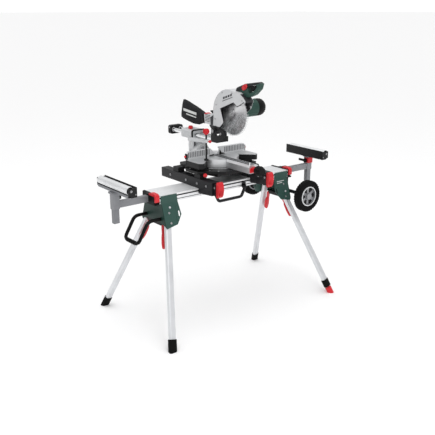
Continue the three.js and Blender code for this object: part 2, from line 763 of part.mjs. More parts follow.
// ---------------------------------------------------------------- roller extensions
function extension(side) {
  const postX = POST_X[side < 0 ? 0 : 1];
  const halfW = POST_WIDTH / 2 + RUN;
  const halfD = POST_DEPTH / 2 + RUN;
  const sleeveW = halfW + SLEEVE_WALL;
  const sleeveD = halfD + SLEEVE_WALL;
  const z0 = TUBE_Z - TUBE_HEIGHT / 2;
  const z1 = TUBE_Z + TUBE_HEIGHT / 2;
  const outerEnd = postX - side * (halfW + 1);
  const tubeX0 = Math.min(side * TUBE_INNER_X, outerEnd);
  const tubeX1 = Math.max(side * TUBE_INNER_X, outerEnd);
  const bore = rectangle(
    -TUBE_HALF_WIDTH + TUBE_WALL,
    TUBE_HALF_WIDTH - TUBE_WALL,
    z0 + TUBE_WALL,
    z1 - TUBE_WALL,
  );
  const tube = plateX(rectangle(-TUBE_HALF_WIDTH, TUBE_HALF_WIDTH, z0, z1), tubeX0, tubeX1, [bore]);
  const sleeve = box(postX - sleeveW, postX + sleeveW, -sleeveD, sleeveD, SLEEVE_BOTTOM, SLEEVE_TOP);
  const well = box(postX - halfW, postX + halfW, -halfD, halfD, SLEEVE_BOTTOM - 5, SLEEVE_TOP + 5);
  return build([tube, sleeve], [well]);
}

// Post with the channel that carries the roller.
function supportPost(side) {
  const postX = POST_X[side < 0 ? 0 : 1];
  const post = box(
    postX - POST_WIDTH / 2,
    postX + POST_WIDTH / 2,
    -POST_DEPTH / 2,
    POST_DEPTH / 2,
    POST_BOTTOM,
    HEAD_BOTTOM + HEAD_WALL / 2,
  );
  const inner = postX - side * HEAD_INNER_OFFSET;
  const outer = postX + side * (ROLLER_OFFSET + ROLLER_RADIUS - 5);
  const floor = box(inner, outer, -HEAD_HALF_LENGTH, HEAD_HALF_LENGTH, HEAD_BOTTOM, HEAD_BOTTOM + HEAD_WALL);
  const wall = box(
    inner,
    inner + side * HEAD_WALL,
    -HEAD_HALF_LENGTH,
    HEAD_HALF_LENGTH,
    HEAD_BOTTOM,
    HEAD_BOTTOM + HEAD_HEIGHT,
  );
  const lip = box(
    outer - side * HEAD_WALL,
    outer,
    -HEAD_HALF_LENGTH,
    HEAD_HALF_LENGTH,
    HEAD_BOTTOM,
    HEAD_BOTTOM + 14,
  );
  const rollerX = postX + side * ROLLER_OFFSET;
  const ends = ENDS.map(({ y }) => {
    const y0 = Math.min(y * HEAD_HALF_LENGTH, y * (HEAD_HALF_LENGTH - 8));
    return box(inner, outer, y0, y0 + 8, HEAD_BOTTOM, HEAD_BOTTOM + HEAD_HEIGHT - 4);
  });
  const pinHole = rodY(4 + RUN, -HEAD_HALF_LENGTH - 5, HEAD_HALF_LENGTH + 5, rollerX, ROLLER_Z, 12);
  const arches = ENDS.map(({ y }) =>
    rodY(10, y * (HEAD_HALF_LENGTH - 9), y * (HEAD_HALF_LENGTH + 5), postX + side * 4, HEAD_BOTTOM, 16),
  );
  const braces = box(
    postX - 24,
    postX + 24,
    -TUBE_HALF_WIDTH - 12,
    TUBE_HALF_WIDTH + 12,
    SLEEVE_TOP + 1,
    HEAD_BOTTOM + 1,
  );
  return build([floor, wall, lip, ...ends, braces, post], [pinHole, ...arches]);
}

function roller(side) {
  const x = POST_X[side < 0 ? 0 : 1] + side * ROLLER_OFFSET;
  const half = HEAD_HALF_LENGTH - 8;
  const barrel = rodY(ROLLER_RADIUS, -half + 1.5, half - 1.5, x, ROLLER_Z, 28);
  const pin = rodY(4, -half - 7, half + 7, x, ROLLER_Z, 12);
  return build([barrel, pin]);
}

// Red clamp that locks the post at its height, on the sleeve's inner side.
function postClamp(side) {
  const postX = POST_X[side < 0 ? 0 : 1];
  const sleeveFace = POST_WIDTH / 2 + RUN + SLEEVE_WALL + GAP;
  const x = postX - side * sleeveFace;
  const boss = rodX(13, x, x - side * 12, 0, 790, 16);
  const lever = box(x - side * 5, x - side * 13, -12, 52, 783, 797);
  return build([boss, lever]);
}

for (const { word, x } of SIDES) {
  const group = assembly(root, `extension_group_${word}`);
  addMesh(group, `extension_${word}`, extension(x), STEEL_GREY);
  addMesh(group, `support_post_${word}`, supportPost(x), BLACK);
  addMesh(group, `roller_${word}`, roller(x), SILVER);
  addMesh(group, `post_clamp_${word}`, postClamp(x), RED);
}

// ---------------------------------------------------------------- saw mounts
const saw = assembly(root, "saw");

// Inverted channel across the beam, notched to sit on it.
function mount(side) {
  const x0 = side * MOUNT_X - MOUNT_WIDTH / 2;
  const bottom = MOUNT_TOP - MOUNT_DEPTH;
  const notch = BEAM_HALF_WIDTH + 2 * GAP;
  const cheek = [
    [MOUNT_FRONT, MOUNT_TOP],
    [MOUNT_FRONT, bottom + 8],
    [-notch - 20, bottom],
    [-notch, bottom],
    [-notch, BEAM_TOP + GAP],
    [MOUNT_BACK, BEAM_TOP + GAP],
    [MOUNT_BACK, MOUNT_TOP],
  ];
  const body = plateX(cheek, x0, x0 + MOUNT_WIDTH);
  const hollow = box(
    x0 + MOUNT_WALL,
    x0 + MOUNT_WIDTH - MOUNT_WALL,
    MOUNT_FRONT + MOUNT_WALL,
    MOUNT_BACK - MOUNT_WALL,
    bottom - 5,
    MOUNT_TOP - MOUNT_WALL,
  );
  const leverSeat = box(
    side * MOUNT_LEVER_X - MOUNT_LEVER_WIDTH / 2 - 4,
    side * MOUNT_LEVER_X + MOUNT_LEVER_WIDTH / 2 + 4,
    MOUNT_FRONT - 18,
    MOUNT_FRONT + 8,
    bottom + 10,
    MOUNT_TOP - 6,
  );
  return build([body, leverSeat], [hollow]);
}

function mountLever(side) {
  const front = MOUNT_FRONT - 18 - GAP;
  const top = MOUNT_TOP + 6;
  const profile = [
    [front, top - 4],
    [front - 6, top],
    [front - 16, top - 6],
    [front - 22, top - 24],
    [front - 24, top - 48],
    [front - 19, top - 74],
    [front - 10, top - 89],
    [front - 2, top - 86],
    [front, top - 70],
  ];
  const x0 = side * MOUNT_LEVER_X - MOUNT_LEVER_WIDTH / 2;
  return plateX(profile, x0, x0 + MOUNT_LEVER_WIDTH);
}

for (const { word, x } of SIDES) {
  addMesh(saw, `saw_mount_${word}`, mount(x), BLACK);
  addMesh(saw, `mount_lever_${word}`, mountLever(x), RED);
}

// ---------------------------------------------------------------- saw base and table
const table = assembly(saw, "table");

// Where the table arm's side passes at the mitre limit, as a line of [x, y] at distance s.
function sweepEdge(s, clearance, side) {
  const angle = THREE.MathUtils.degToRad(MITRE_LIMIT);
  const offset = ARM_HALF_WIDTH + clearance;
  const x = Math.sin(angle) * s + Math.cos(angle) * offset;
  const y = TABLE_CENTRE_Y - Math.cos(angle) * s + Math.sin(angle) * offset;
  return [side * x, y];
}

function sweepAtX(x, clearance, side) {
  const angle = THREE.MathUtils.degToRad(MITRE_LIMIT);
  const s = (x - Math.cos(angle) * (ARM_HALF_WIDTH + clearance)) / Math.sin(angle);
  return sweepEdge(s, clearance, side);
}

function sweepAtY(y, clearance, side) {
  const angle = THREE.MathUtils.degToRad(MITRE_LIMIT);
  const offset = ARM_HALF_WIDTH + clearance;
  const s = (TABLE_CENTRE_Y + Math.sin(angle) * offset - y) / Math.cos(angle);
  return sweepEdge(s, clearance, side);
}

function sawBase() {
  const z0 = MOUNT_TOP + GAP;
  const plan = [
    [-222, -70],
    [-150, -118],
    [-90, -170],
    [90, -170],
    [150, -118],
    [222, -70],
    [222, 40],
    [170, 120],
    [150, 200],
    [-150, 200],
    [-170, 120],
    [-222, 40],
  ];
  const deck = plateZ(plan, BASE_TOP - 16, BASE_TOP);
  const ring = rodZ(DRUM_RADIUS + 12, BASE_TOP - 1, DRUM_BOTTOM - GAP, 0, TABLE_CENTRE_Y, 48);
  const under = plateZ(
    [[-128, -140], [128, -140], [150, -60], [150, 190], [-150, 190], [-150, -60]],
    z0 + 8,
    BASE_TOP - 12,
  );
  const belly = plateZ(
    [[-112, -128], [112, -128], [134, -56], [134, 176], [-134, 176], [-134, -56]],
    z0 - 5,
    BASE_TOP - 20,
  );
  const feet = [];
  for (const { x } of SIDES) {
    for (const y of [-62, 150]) {
      feet.push(box(x * (MOUNT_X - 22), x * (MOUNT_X + 22), y - 26, y + 26, z0, BASE_TOP - 12));
    }
    feet.push(box(x * 140, x * (MOUNT_X + 22), 124, 176, z0 + 12, BASE_TOP - 12));
  }
  const sideTables = SIDES.flatMap(({ x }) => [
    plateZ(
      [
        sweepAtX(FIXED_TABLE_X, 3, x),
        [x * FIXED_TABLE_X, TABLE_CENTRE_Y + FENCE_THICKNESS + 3],
        [x * 80, TABLE_CENTRE_Y + FENCE_THICKNESS + 3],
        sweepAtX(80, 3, x),
      ],
      BASE_TOP - 2,
      TABLE_TOP,
    ),
    plateZ(
      [
        sweepAtX(FIXED_TABLE_X, 3, x),
        sweepAtY(-58, 3, x),
        [x * 200, -58],
        [x * 200, 80],
        [x * FIXED_TABLE_X, 80],
      ],
      BASE_TOP - 2,
      TABLE_TOP - WING_THICKNESS - GAP,
    ),
    box(x * 145, x * 190, TABLE_CENTRE_Y + GAP, 84, BASE_TOP - 2, TABLE_TOP),
  ]);
  const drumWell = rodZ(DRUM_RADIUS + 1.5, DRUM_BOTTOM - GAP, TABLE_TOP + 5, 0, TABLE_CENTRE_Y, 64);
  const clampHole = rodZ(7 + GAP, TABLE_TOP - 30, TABLE_TOP + 5, CLAMP_POST_X, CLAMP_POST_Y, 16);
  const body = build([deck, ring, under, ...feet, ...sideTables], [belly]);
  return build([body], [drumWell, clampHole]);
}

function turntable() {
  const drum = rodZ(DRUM_RADIUS, DRUM_BOTTOM, TABLE_TOP, 0, TABLE_CENTRE_Y, 64);
  const arm = plateY(
    [
      [-ARM_HALF_WIDTH, DRUM_BOTTOM],
      [ARM_HALF_WIDTH, DRUM_BOTTOM],
      [ARM_HALF_WIDTH, TABLE_TOP - 12],
      [ARM_HALF_WIDTH - 10, TABLE_TOP],
      [-ARM_HALF_WIDTH + 10, TABLE_TOP],
      [-ARM_HALF_WIDTH, TABLE_TOP - 12],
    ],
    ARM_END_Y,
    TABLE_CENTRE_Y,
  );
  const rear = box(-56, 56, 130, HUB_FRONT_Y + 2, DRUM_BOTTOM, TABLE_TOP - 8);
  const hub = plateY(
    [
      [-HUB_RADIUS, DRUM_BOTTOM],
      [HUB_RADIUS, DRUM_BOTTOM],
      ...arc(0, TABLE_TOP, HUB_RADIUS, 0, 180, 14),
    ],
    HUB_FRONT_Y,
    HUB_BACK_Y,
  );
  const kerf = box(
    -KERF_HALF_WIDTH,
    KERF_HALF_WIDTH,
    KERF_FRONT_Y,
    KERF_BACK_Y,
    TABLE_TOP - KERF_DEPTH,
    TABLE_TOP + 5,
  );
  const knobBore = rodY(6 + RUN, ARM_END_Y - 5, ARM_END_Y + 34, 0, 892, 12);
  return build([drum, arm, rear, hub], [kerf, knobBore]);
}

// Mitre lock: red collar, black grip and the spindle that enters the arm.
function mitreKnob() {
  const y0 = ARM_END_Y - GAP;
  const collar = rodY(17, y0, y0 - 22, 0, 892, 20);
  const grip = rodY(22, y0 - 20, y0 - 44, 0, 892, 12, 28);
  const nose = rodY(28, y0 - 43, y0 - 70, 0, 892, 12, 22);
  const spindle = rodY(6, y0 - 5, y0 + 30, 0, 892, 12);
  return build([collar, grip, nose, spindle]);
}

function wing(side) {
  const inner = FIXED_TABLE_X + GAP;
  const plan = [
    [side * inner, TABLE_CENTRE_Y],
    sweepAtX(inner, 4, side),
    sweepAtY(WING_FRONT_Y, 4, side),
    [side * (WING_OUTER_X - 14), WING_FRONT_Y],
    [side * WING_OUTER_X, WING_FRONT_Y + 14],
    [side * WING_OUTER_X, TABLE_CENTRE_Y],
  ];
  const body = plateZ(plan, TABLE_TOP - WING_THICKNESS, TABLE_TOP);
  const hollow = box(
    side * (inner + 12),
    side * (WING_OUTER_X - 8),
    -20,
    TABLE_CENTRE_Y - 8,
    TABLE_TOP - WING_THICKNESS - 5,
    TABLE_TOP - 8,
  );
  return build([body], [hollow]);
}

// Fence half: ribbed face, inner end sloped so that the tilted blade clears it on the left.
function fence(side) {
  const y0 = TABLE_CENTRE_Y + GAP;
  const top = FENCE_TOP;
  const z0 = TABLE_TOP + GAP;
  const slope = side < 0 ? 34 : 4;
  const face = [
    [side * FENCE_INNER_X, z0],
    [side * FENCE_INNER_X, z0 + 12],
    [side * (FENCE_INNER_X + slope), top],
    [side * (FENCE_OUTER_X - 14), top],
    [side * FENCE_OUTER_X, top - 14],
    [side * FENCE_OUTER_X, z0],
  ];
  const body = plateY(face, y0, y0 + FENCE_THICKNESS);
  const rebate = box(
    side * (FENCE_INNER_X - 5),
    side * (FENCE_OUTER_X + 5),
    y0 + 8,
    y0 + FENCE_THICKNESS + 5,
    z0 + 14,
    top - 8,
  );
  return build([body], [rebate]);
}

addMesh(table, "saw_base", sawBase(), BLACK);
addMesh(table, "turntable", turntable(), SILVER);
addMesh(table, "mitre_knob", mitreKnob(), BLACK);
for (const { word, x } of SIDES) {
  addMesh(table, `table_wing_${word}`, wing(x), BLACK);
  addMesh(table, `fence_${word}`, fence(x), SILVER);
}

// ---------------------------------------------------------------- bevel arm and rails
const head = assembly(saw, "head");

function bevelArm() {
  const y0 = HUB_BACK_Y + GAP;
  const column = plateY(
    [
      ...arc(0, TABLE_TOP, HUB_RADIUS, 200, 340, 10),
      [COLUMN_HALF_WIDTH + 4, TABLE_TOP + 30],
      [COLUMN_HALF_WIDTH, CARRIER_BOTTOM + 2],
      [-COLUMN_HALF_WIDTH, CARRIER_BOTTOM + 2],
      [-COLUMN_HALF_WIDTH - 4, TABLE_TOP + 30],
    ],
    y0,
    y0 + COLUMN_DEPTH,
  );
  const carrier = plateY(
    rounded(-CARRIER_HALF_WIDTH, CARRIER_HALF_WIDTH, CARRIER_BOTTOM, CARRIER_TOP, 10),
    CARRIER_FRONT_Y,
    CARRIER_BACK_Y,
  );
  const rib = plateX(
    [
      [y0 + COLUMN_DEPTH - 2, TABLE_TOP + 10],
      [CARRIER_BACK_Y - 8, CARRIER_BOTTOM + 4],
      [y0 + COLUMN_DEPTH - 2, CARRIER_BOTTOM + 4],
    ],
    -14,
    14,
  );
  const bores = SIDES.map(({ x }) =>
    rodY(RAIL_RADIUS + RUN, CARRIER_FRONT_Y - 5, CARRIER_BACK_Y + 5, x * RAIL_X, RAIL_Z, 20),
  );
  const slots = [-1, 1].map((s) => box(-30 + s * 3.5, -24 + s * 3.5, y0 - 1, y0 + 6, 938, 972));
  const knobBore = rodZ(5 + RUN, CARRIER_TOP - 12, CARRIER_TOP + 5, LOCK_X, LOCK_Y, 12);
  return build([column, carrier, rib], [...bores, ...slots, knobBore]);
}

// Rails, rear cap and the front block with the ears of the chop pivot, one carriage.
function slideRails() {
  const front = CHOP_Y - 34;
  const rails = SIDES.map(({ x }) =>
    rodY(RAIL_RADIUS, front + 10, RAIL_CAP_Y + 4, x * RAIL_X, RAIL_Z, 20),
  );
  const cap = plateY(
    rounded(-47, 47, RAIL_Z - 28, RAIL_Z + 26, 12),
    RAIL_CAP_Y,
    RAIL_CAP_Y + RAIL_CAP_LENGTH,
  );
  const wide = KNUCKLE_HALF_WIDTH + 1 + EAR_THICKNESS;
  const block = box(-wide, wide, front, CHOP_Y + 22, RAIL_Z - 14, RAIL_Z + 17);
  const ears = SIDES.map(({ x }) => {
    const x0 = Math.min(x * (KNUCKLE_HALF_WIDTH + 1), x * wide);
    const outlineYZ = [
      [CHOP_Y - EAR_RADIUS, RAIL_Z + 10],
      [CHOP_Y + EAR_RADIUS, RAIL_Z + 10],
      ...arc(CHOP_Y, CHOP_Z, EAR_RADIUS, 0, 180, 10),
    ];
    return plateX(outlineYZ, x0, x0 + EAR_THICKNESS);
  });
  // shroud beside the blade guard, on the carriage's left cheek
  const shroud = plateX(
    [
      [front + 10, RAIL_Z - 8],
      [front + 10, RAIL_Z + 26],
      [-46, 1046],
      [-56, 1090],
      [-92, 1084],
      [-98, 1062],
      [-80, 1022],
      [-52, 1012],
    ],
    -wide - 3,
    GUARD_LEFT - 2,
  );
  const pinHole = rodX(CHOP_PIN_RADIUS + RUN, -60, 60, CHOP_Y, CHOP_Z, 16);
  return build([...rails, cap, block, ...ears, shroud], [pinHole]);
}

function railLockKnob() {
  const stem = rodZ(5, CARRIER_TOP - 8, CARRIER_TOP + 6, LOCK_X, LOCK_Y, 12);
  const grip = rodZ(14, CARRIER_TOP + 3, CARRIER_TOP + 20, LOCK_X, LOCK_Y, 12, 11);
  return build([stem, grip]);
}

// ---------------------------------------------------------------- cutting head
// Outlines below are [y, z] pairs; they grow with the hood about the blade axis.
function fitted([y, z]) {
  const scale = GUARD_RADIUS / DRAWN_GUARD_RADIUS;
  return [BLADE_Y + (y - BLADE_Y) * scale, BLADE_Z + (z - BLADE_Z) * scale];
}

function guardOuter(grow) {
  const nose = [
    [-202, 1307 - grow],
    [-240, 1284 - grow],
    [-257 + grow, 1268 - grow],
    [-257 + grow, 1258],
  ];
  return [...arc(BLADE_Y, BLADE_Z, GUARD_RADIUS - grow, -50, 108, 17), ...nose.map(fitted)];
}

function bladeGuard() {
  const window = [
    [-212, 1240],
    [-190, 1231],
    [-160, 1250],
    [-44, 1205],
    [-74, 1130],
    [-36, 1092],
  ];
  const shell = [...guardOuter(0), ...window.map(fitted)];
  const right = [
    ...guardOuter(0),
    fitted([-238, 1218]),
    ...arc(BLADE_Y, BLADE_Z, 58, 190, 300, 6),
    fitted([-36, 1092]),
  ];
  const leftWall = plateX(shell, GUARD_LEFT, GUARD_LEFT + GUARD_WALL);
  const rightWall = plateX(right, GUARD_RIGHT - GUARD_WALL, GUARD_RIGHT);
  const band = plateX(shell, GUARD_LEFT + GUARD_WALL - 1, GUARD_RIGHT - GUARD_WALL + 1);
  const cavityOutline = [
    ...guardOuter(GUARD_WALL),
    [-300, 1262],
    [-300, 1000],
    [-60, 1000],
  ];
  const cavity = plateX(cavityOutline, GUARD_LEFT + GUARD_WALL, GUARD_RIGHT - GUARD_WALL);
  const hood = build([leftWall, rightWall, band], [cavity]);
  const gearCase = build([
    rodX(50, GUARD_RIGHT - 2, MOTOR_START - GAP, MOTOR_Y, MOTOR_Z, 28),
    rodX(40, GUARD_RIGHT - 2, MOTOR_START - 12, BLADE_Y, BLADE_Z, 24),
  ]);
  const spindle = rodX(11, 4, GUARD_RIGHT, BLADE_Y, BLADE_Z, 16);
  // swing arm from the pivot up the back of the hood
  const swingArm = plateX(
    [
      ...arc(CHOP_Y, CHOP_Z, EAR_RADIUS - 1, 150, 330, 8),
      [64, 1092],
      [58, 1150],
      onCircle(BLADE_Y, BLADE_Z, GUARD_RADIUS - 6.9, -2.7),
      onCircle(BLADE_Y, BLADE_Z, GUARD_RADIUS - 0.6, -33.7),
    ],
    -KNUCKLE_HALF_WIDTH,
    KNUCKLE_HALF_WIDTH,
  );
  const armRelief = rodX(GUARD_RADIUS - GUARD_WALL, -60, 60, BLADE_Y, BLADE_Z, 64);
  const chute = plateX(
    [
      [40, 1096],
      [122, 1100],
      [132, 1150],
      [40, 1166],
    ],
    -24,
    24,
  );
  const chuteBore = plateX(
    [
      [20, 1106],
      [140, 1106],
      [140, 1146],
      [20, 1150],
    ],
    -18,
    18,
  );
  const pin = rodX(CHOP_PIN_RADIUS, -KNUCKLE_HALF_WIDTH - 18, KNUCKLE_HALF_WIDTH + 18, CHOP_Y, CHOP_Z, 16);
  const arm = build([swingArm, chute, pin], [chuteBore, armRelief]);
  return build([hood, gearCase, arm, spindle]);
}

// Motor housing: a thin shell open towards the gear case, with a tapered end cap.
function motorHousing() {
  const capStart = MOTOR_END - 48;
  const profile = [
    [MOTOR_RADIUS - MOTOR_WALL, MOTOR_START],
    [MOTOR_RADIUS, MOTOR_START],
    [MOTOR_RADIUS, capStart],
    [MOTOR_RADIUS - 2, capStart + 14],
    [MOTOR_RADIUS - 14, MOTOR_END - 6],
    [MOTOR_RADIUS - 24, MOTOR_END],
    [0, MOTOR_END],
    [0, MOTOR_END - 6],
    [MOTOR_RADIUS - 26, MOTOR_END - 7],
    [MOTOR_RADIUS - MOTOR_WALL - 14, MOTOR_END - 12],
    [MOTOR_RADIUS - MOTOR_WALL, capStart],
    [MOTOR_RADIUS - MOTOR_WALL, MOTOR_START],
  ].map(([r, x]) => new THREE.Vector2(r, x));
  const lathe = new THREE.LatheGeometry(profile, 32).rotateZ(-Math.PI / 2);
  return build([lathe.translate(0, MOTOR_Y, MOTOR_Z)]);
}

function motorArmature() {
  const shaft = rodX(6, MOTOR_START + 1, MOTOR_END - 14, MOTOR_Y, MOTOR_Z, 12);
  const core = rodX(27, MOTOR_START + 40, MOTOR_START + 110, MOTOR_Y, MOTOR_Z, 20);
  const commutator = rodX(15, MOTOR_START + 105, MOTOR_START + 132, MOTOR_Y, MOTOR_Z, 16);
  return build([shaft, core, commutator]);
}

// Loop handle at the front of the head, with a finger opening.
function mainHandle() {
  const x0 = HANDLE_X - HANDLE_WIDTH / 2;
  const outer = [
    [-150, 1314],
    [-158, 1330],
    [-186, 1341],
    [-232, 1358],
    [-330, 1374],
    [-350, 1367],
    [-340, 1338],
    [-300, 1304],
    [-254, 1287],
    [-240, 1285.5],
    [-202, 1308.5],
    [-157, 1311.5],
  ].map(fitted);
  const opening = [
    [-250, 1340],
    [-262, 1348],
    [-314, 1357],
    [-326, 1350],
    [-308, 1328],
    [-276, 1310],
    [-258, 1312],
  ].map(fitted);
  const buttonBore = rodX(BUTTON_RADIUS + RUN, x0 - 5, x0 + 9, ...fitted(BUTTON_DRAWN), 20);
  const triggerPocket = plateX(
    [
      [-262, 1344],
      [-309, 1350],
      [-309, 1361],
      [-262, 1354],
    ].map(fitted),
    HANDLE_X - TRIGGER_HALF_WIDTH - 2 * GAP,
    HANDLE_X + TRIGGER_HALF_WIDTH + 2 * GAP,
  );
  return build([plateX(outer, x0, x0 + HANDLE_WIDTH, [opening])], [buttonBore, triggerPocket]);
}

function trigger() {
  const points = [
    [-266, 1347.5],
    [-304, 1354],
    [-306, 1348],
    [-294, 1341],
    [-270, 1336],
  ].map(fitted);
  return plateX(points, HANDLE_X - TRIGGER_HALF_WIDTH, HANDLE_X + TRIGGER_HALF_WIDTH);
}

function lockButton() {
  const face = HANDLE_X - HANDLE_WIDTH / 2;
  return rodX(BUTTON_RADIUS, face - 7, face + 4, ...fitted(BUTTON_DRAWN), 20);
}

// Saw blade: a toothed disc with its flange and bolt.
function blade() {
  const rimPoints = [];
  const pitch = 360 / BLADE_TEETH;
  for (let i = 0; i < BLADE_TEETH; i++) {
    rimPoints.push(onCircle(BLADE_Y, BLADE_Z, BLADE_RADIUS, i * pitch));
    rimPoints.push(onCircle(BLADE_Y, BLADE_Z, BLADE_RADIUS - 6, (i + 0.25) * pitch));
  }
  const disc = plateX(rimPoints, -BLADE_THICKNESS / 2, BLADE_THICKNESS / 2);
  const flange = rodX(24, -BLADE_THICKNESS / 2 - 4, 3.6, BLADE_Y, BLADE_Z, 24);
  const bolt = rodX(9, -BLADE_THICKNESS / 2 - 9, 0, BLADE_Y, BLADE_Z, 6);
  return build([disc, flange, bolt]);
}

// Clear lower guard: a rim with a wall on each side of the blade.
function lowerGuard() {
  const half = LOWER_GUARD_HALF_WIDTH;
  const from = 176;
  const to = 322;
  const sector = [
    ...arc(BLADE_Y, BLADE_Z, LOWER_GUARD_RADIUS, from, to, 20),
    ...arc(BLADE_Y, BLADE_Z, 46, to, from, 8),
  ];
  const solid = plateX(sector, -half, half);
  const inner = rodX(
    LOWER_GUARD_RADIUS - LOWER_GUARD_WALL,
    -half + LOWER_GUARD_WALL,
    half - LOWER_GUARD_WALL,
    BLADE_Y,
    BLADE_Z,
    60,
  );
  return build([solid], [inner]);
}

function dustBag() {
  const outlineYZ = [
    [136, 1103],
    [148, 1152],
    [200, 1177],
    [345, 1216],
    [362, 1212],
    [394, 1110],
    [386, 1100],
    [226, 1074],
    [204, 1074],
    [160, 1092],
  ];
  const neck = plateX(
    [
      [133, 1099],
      [147, 1102],
      [158, 1152],
      [143, 1153],
    ],
    -26,
    26,
  );
  return build([plateX(outlineYZ, -BAG_HALF_WIDTH, BAG_HALF_WIDTH), neck]);
}

addMesh(head, "bevel_arm", bevelArm(), WHITE_CAST);
addMesh(head, "slide_rails", slideRails(), SILVER);
addMesh(head, "rail_lock_knob", railLockKnob(), RED);
addMesh(head, "blade_guard", bladeGuard(), WHITE_CAST);
addMesh(head, "motor_housing", motorHousing(), GREEN);
addMesh(head, "motor_armature", motorArmature(), COPPER);
addMesh(head, "main_handle", mainHandle(), BLACK);
addMesh(head, "trigger", trigger(), BLACK);
addMesh(head, "lock_button", lockButton(), RED);
addMesh(head, "saw_blade", blade(), BLADE_STEEL);
addMesh(head, "lower_guard", lowerGuard(), CLEAR);
addMesh(head, "dust_bag", dustBag(), FABRIC);

// ---------------------------------------------------------------- hold-down clamp
function clampPost() {
  const post = rodZ(7, TABLE_TOP - 24, CLAMP_ARM_Z + 24, CLAMP_POST_X, CLAMP_POST_Y, 16);
  const dx = CLAMP_X - CLAMP_POST_X;
  const dy = CLAMP_Y - CLAMP_POST_Y;
  const length = Math.hypot(dx, dy);
  const bar = new THREE.BoxGeometry(length, 14, 18);
  bar.rotateZ(Math.atan2(dy, dx));
  bar.translate(CLAMP_POST_X + dx / 2, CLAMP_POST_Y + dy / 2, CLAMP_ARM_Z + 9);
  const bosses = [
    rodZ(12, CLAMP_ARM_Z, CLAMP_ARM_Z + 18, CLAMP_POST_X, CLAMP_POST_Y, 16),
    rodZ(11, CLAMP_ARM_Z, CLAMP_ARM_Z + 18, CLAMP_X, CLAMP_Y, 16),
  ];
  const bore = rodZ(5 + RUN, CLAMP_ARM_Z - 5, CLAMP_ARM_Z + 25, CLAMP_X, CLAMP_Y, 14);
  return build([post, bar, ...bosses], [bore]);
}

function clampScrew() {
  const foot = rodZ(13, TABLE_TOP + 1, TABLE_TOP + 9, CLAMP_X, CLAMP_Y, 18);
  const spindle = rodZ(5, TABLE_TOP + 4, CLAMP_KNOB_TOP - 6, CLAMP_X, CLAMP_Y, 14);
  const knob = rodZ(12, CLAMP_KNOB_TOP - 30, CLAMP_KNOB_TOP - 16, CLAMP_X, CLAMP_Y, 12, CLAMP_KNOB_RADIUS);
  const crown = rodZ(CLAMP_KNOB_RADIUS, CLAMP_KNOB_TOP - 17, CLAMP_KNOB_TOP, CLAMP_X, CLAMP_Y, 12, 13);
  return build([foot, spindle, knob, crown]);
}

const clamp = assembly(saw, "clamp");
addMesh(clamp, "clamp_post", clampPost(), SILVER);
addMesh(clamp, "clamp_screw", clampScrew(), RED);

// The part's origin is on the floor, under the middle of the whole object.
const extent = new THREE.Box3().setFromObject(root, true);
const middle = extent.getCenter(new THREE.Vector3());
root.position.set(-middle.x, -middle.y, -extent.min.z);

export default root;
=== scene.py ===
import math

import bmesh
import bpy
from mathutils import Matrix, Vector, noise


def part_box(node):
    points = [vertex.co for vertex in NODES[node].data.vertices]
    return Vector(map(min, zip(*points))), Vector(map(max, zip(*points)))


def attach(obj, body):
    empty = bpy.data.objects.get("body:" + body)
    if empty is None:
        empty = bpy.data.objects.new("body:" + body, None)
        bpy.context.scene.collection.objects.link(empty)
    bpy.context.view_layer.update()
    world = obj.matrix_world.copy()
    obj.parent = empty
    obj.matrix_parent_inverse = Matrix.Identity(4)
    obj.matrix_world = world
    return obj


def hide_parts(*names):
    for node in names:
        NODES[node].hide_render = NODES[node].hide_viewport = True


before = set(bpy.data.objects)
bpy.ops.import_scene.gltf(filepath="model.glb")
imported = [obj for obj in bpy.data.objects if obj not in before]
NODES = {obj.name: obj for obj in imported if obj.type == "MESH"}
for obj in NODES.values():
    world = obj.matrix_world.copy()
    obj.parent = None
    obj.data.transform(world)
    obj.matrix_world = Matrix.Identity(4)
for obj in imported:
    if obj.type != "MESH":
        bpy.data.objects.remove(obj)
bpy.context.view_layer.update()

# The beam's middle is the working origin of every position below, in millimetres.
_lo, _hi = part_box("beam")
OX, OY = (_lo[0] + _hi[0]) / 2, (_lo[1] + _hi[1]) / 2


def P(x, y, z):
    return Vector((OX + x / 1000, OY + y / 1000, z / 1000))


# Positions that several details share.
BEAM_TOP = 774
SHEET_Y = 81.3  # a housing sheet's outer face above its bend
SHEET_BEND_Z = 728
SHEET_LEAN = 0.3237
SHEET_OUT, SHEET_UP = 0.951, 0.308  # the leaning face's direction
WHEEL_X, WHEEL_Y, WHEEL_Z = 489, 271, 642
ROLLER_Z = 858
POST_END_Y = 165.1
TABLE_Y, TABLE_Z = 30, 918  # mitre axis and table top
KERF_X = 13
KNOB_Z = 892
FENCE_RIB = 12.4
CARRIER_Y = 262
RAIL_X, RAIL_Z = 25, 1017
BLADE_Y, BLADE_Z = -111, 1184
MOTOR_Y, MOTOR_Z = -103, 1200
CLAMP_X, CLAMP_Y = -138, -46


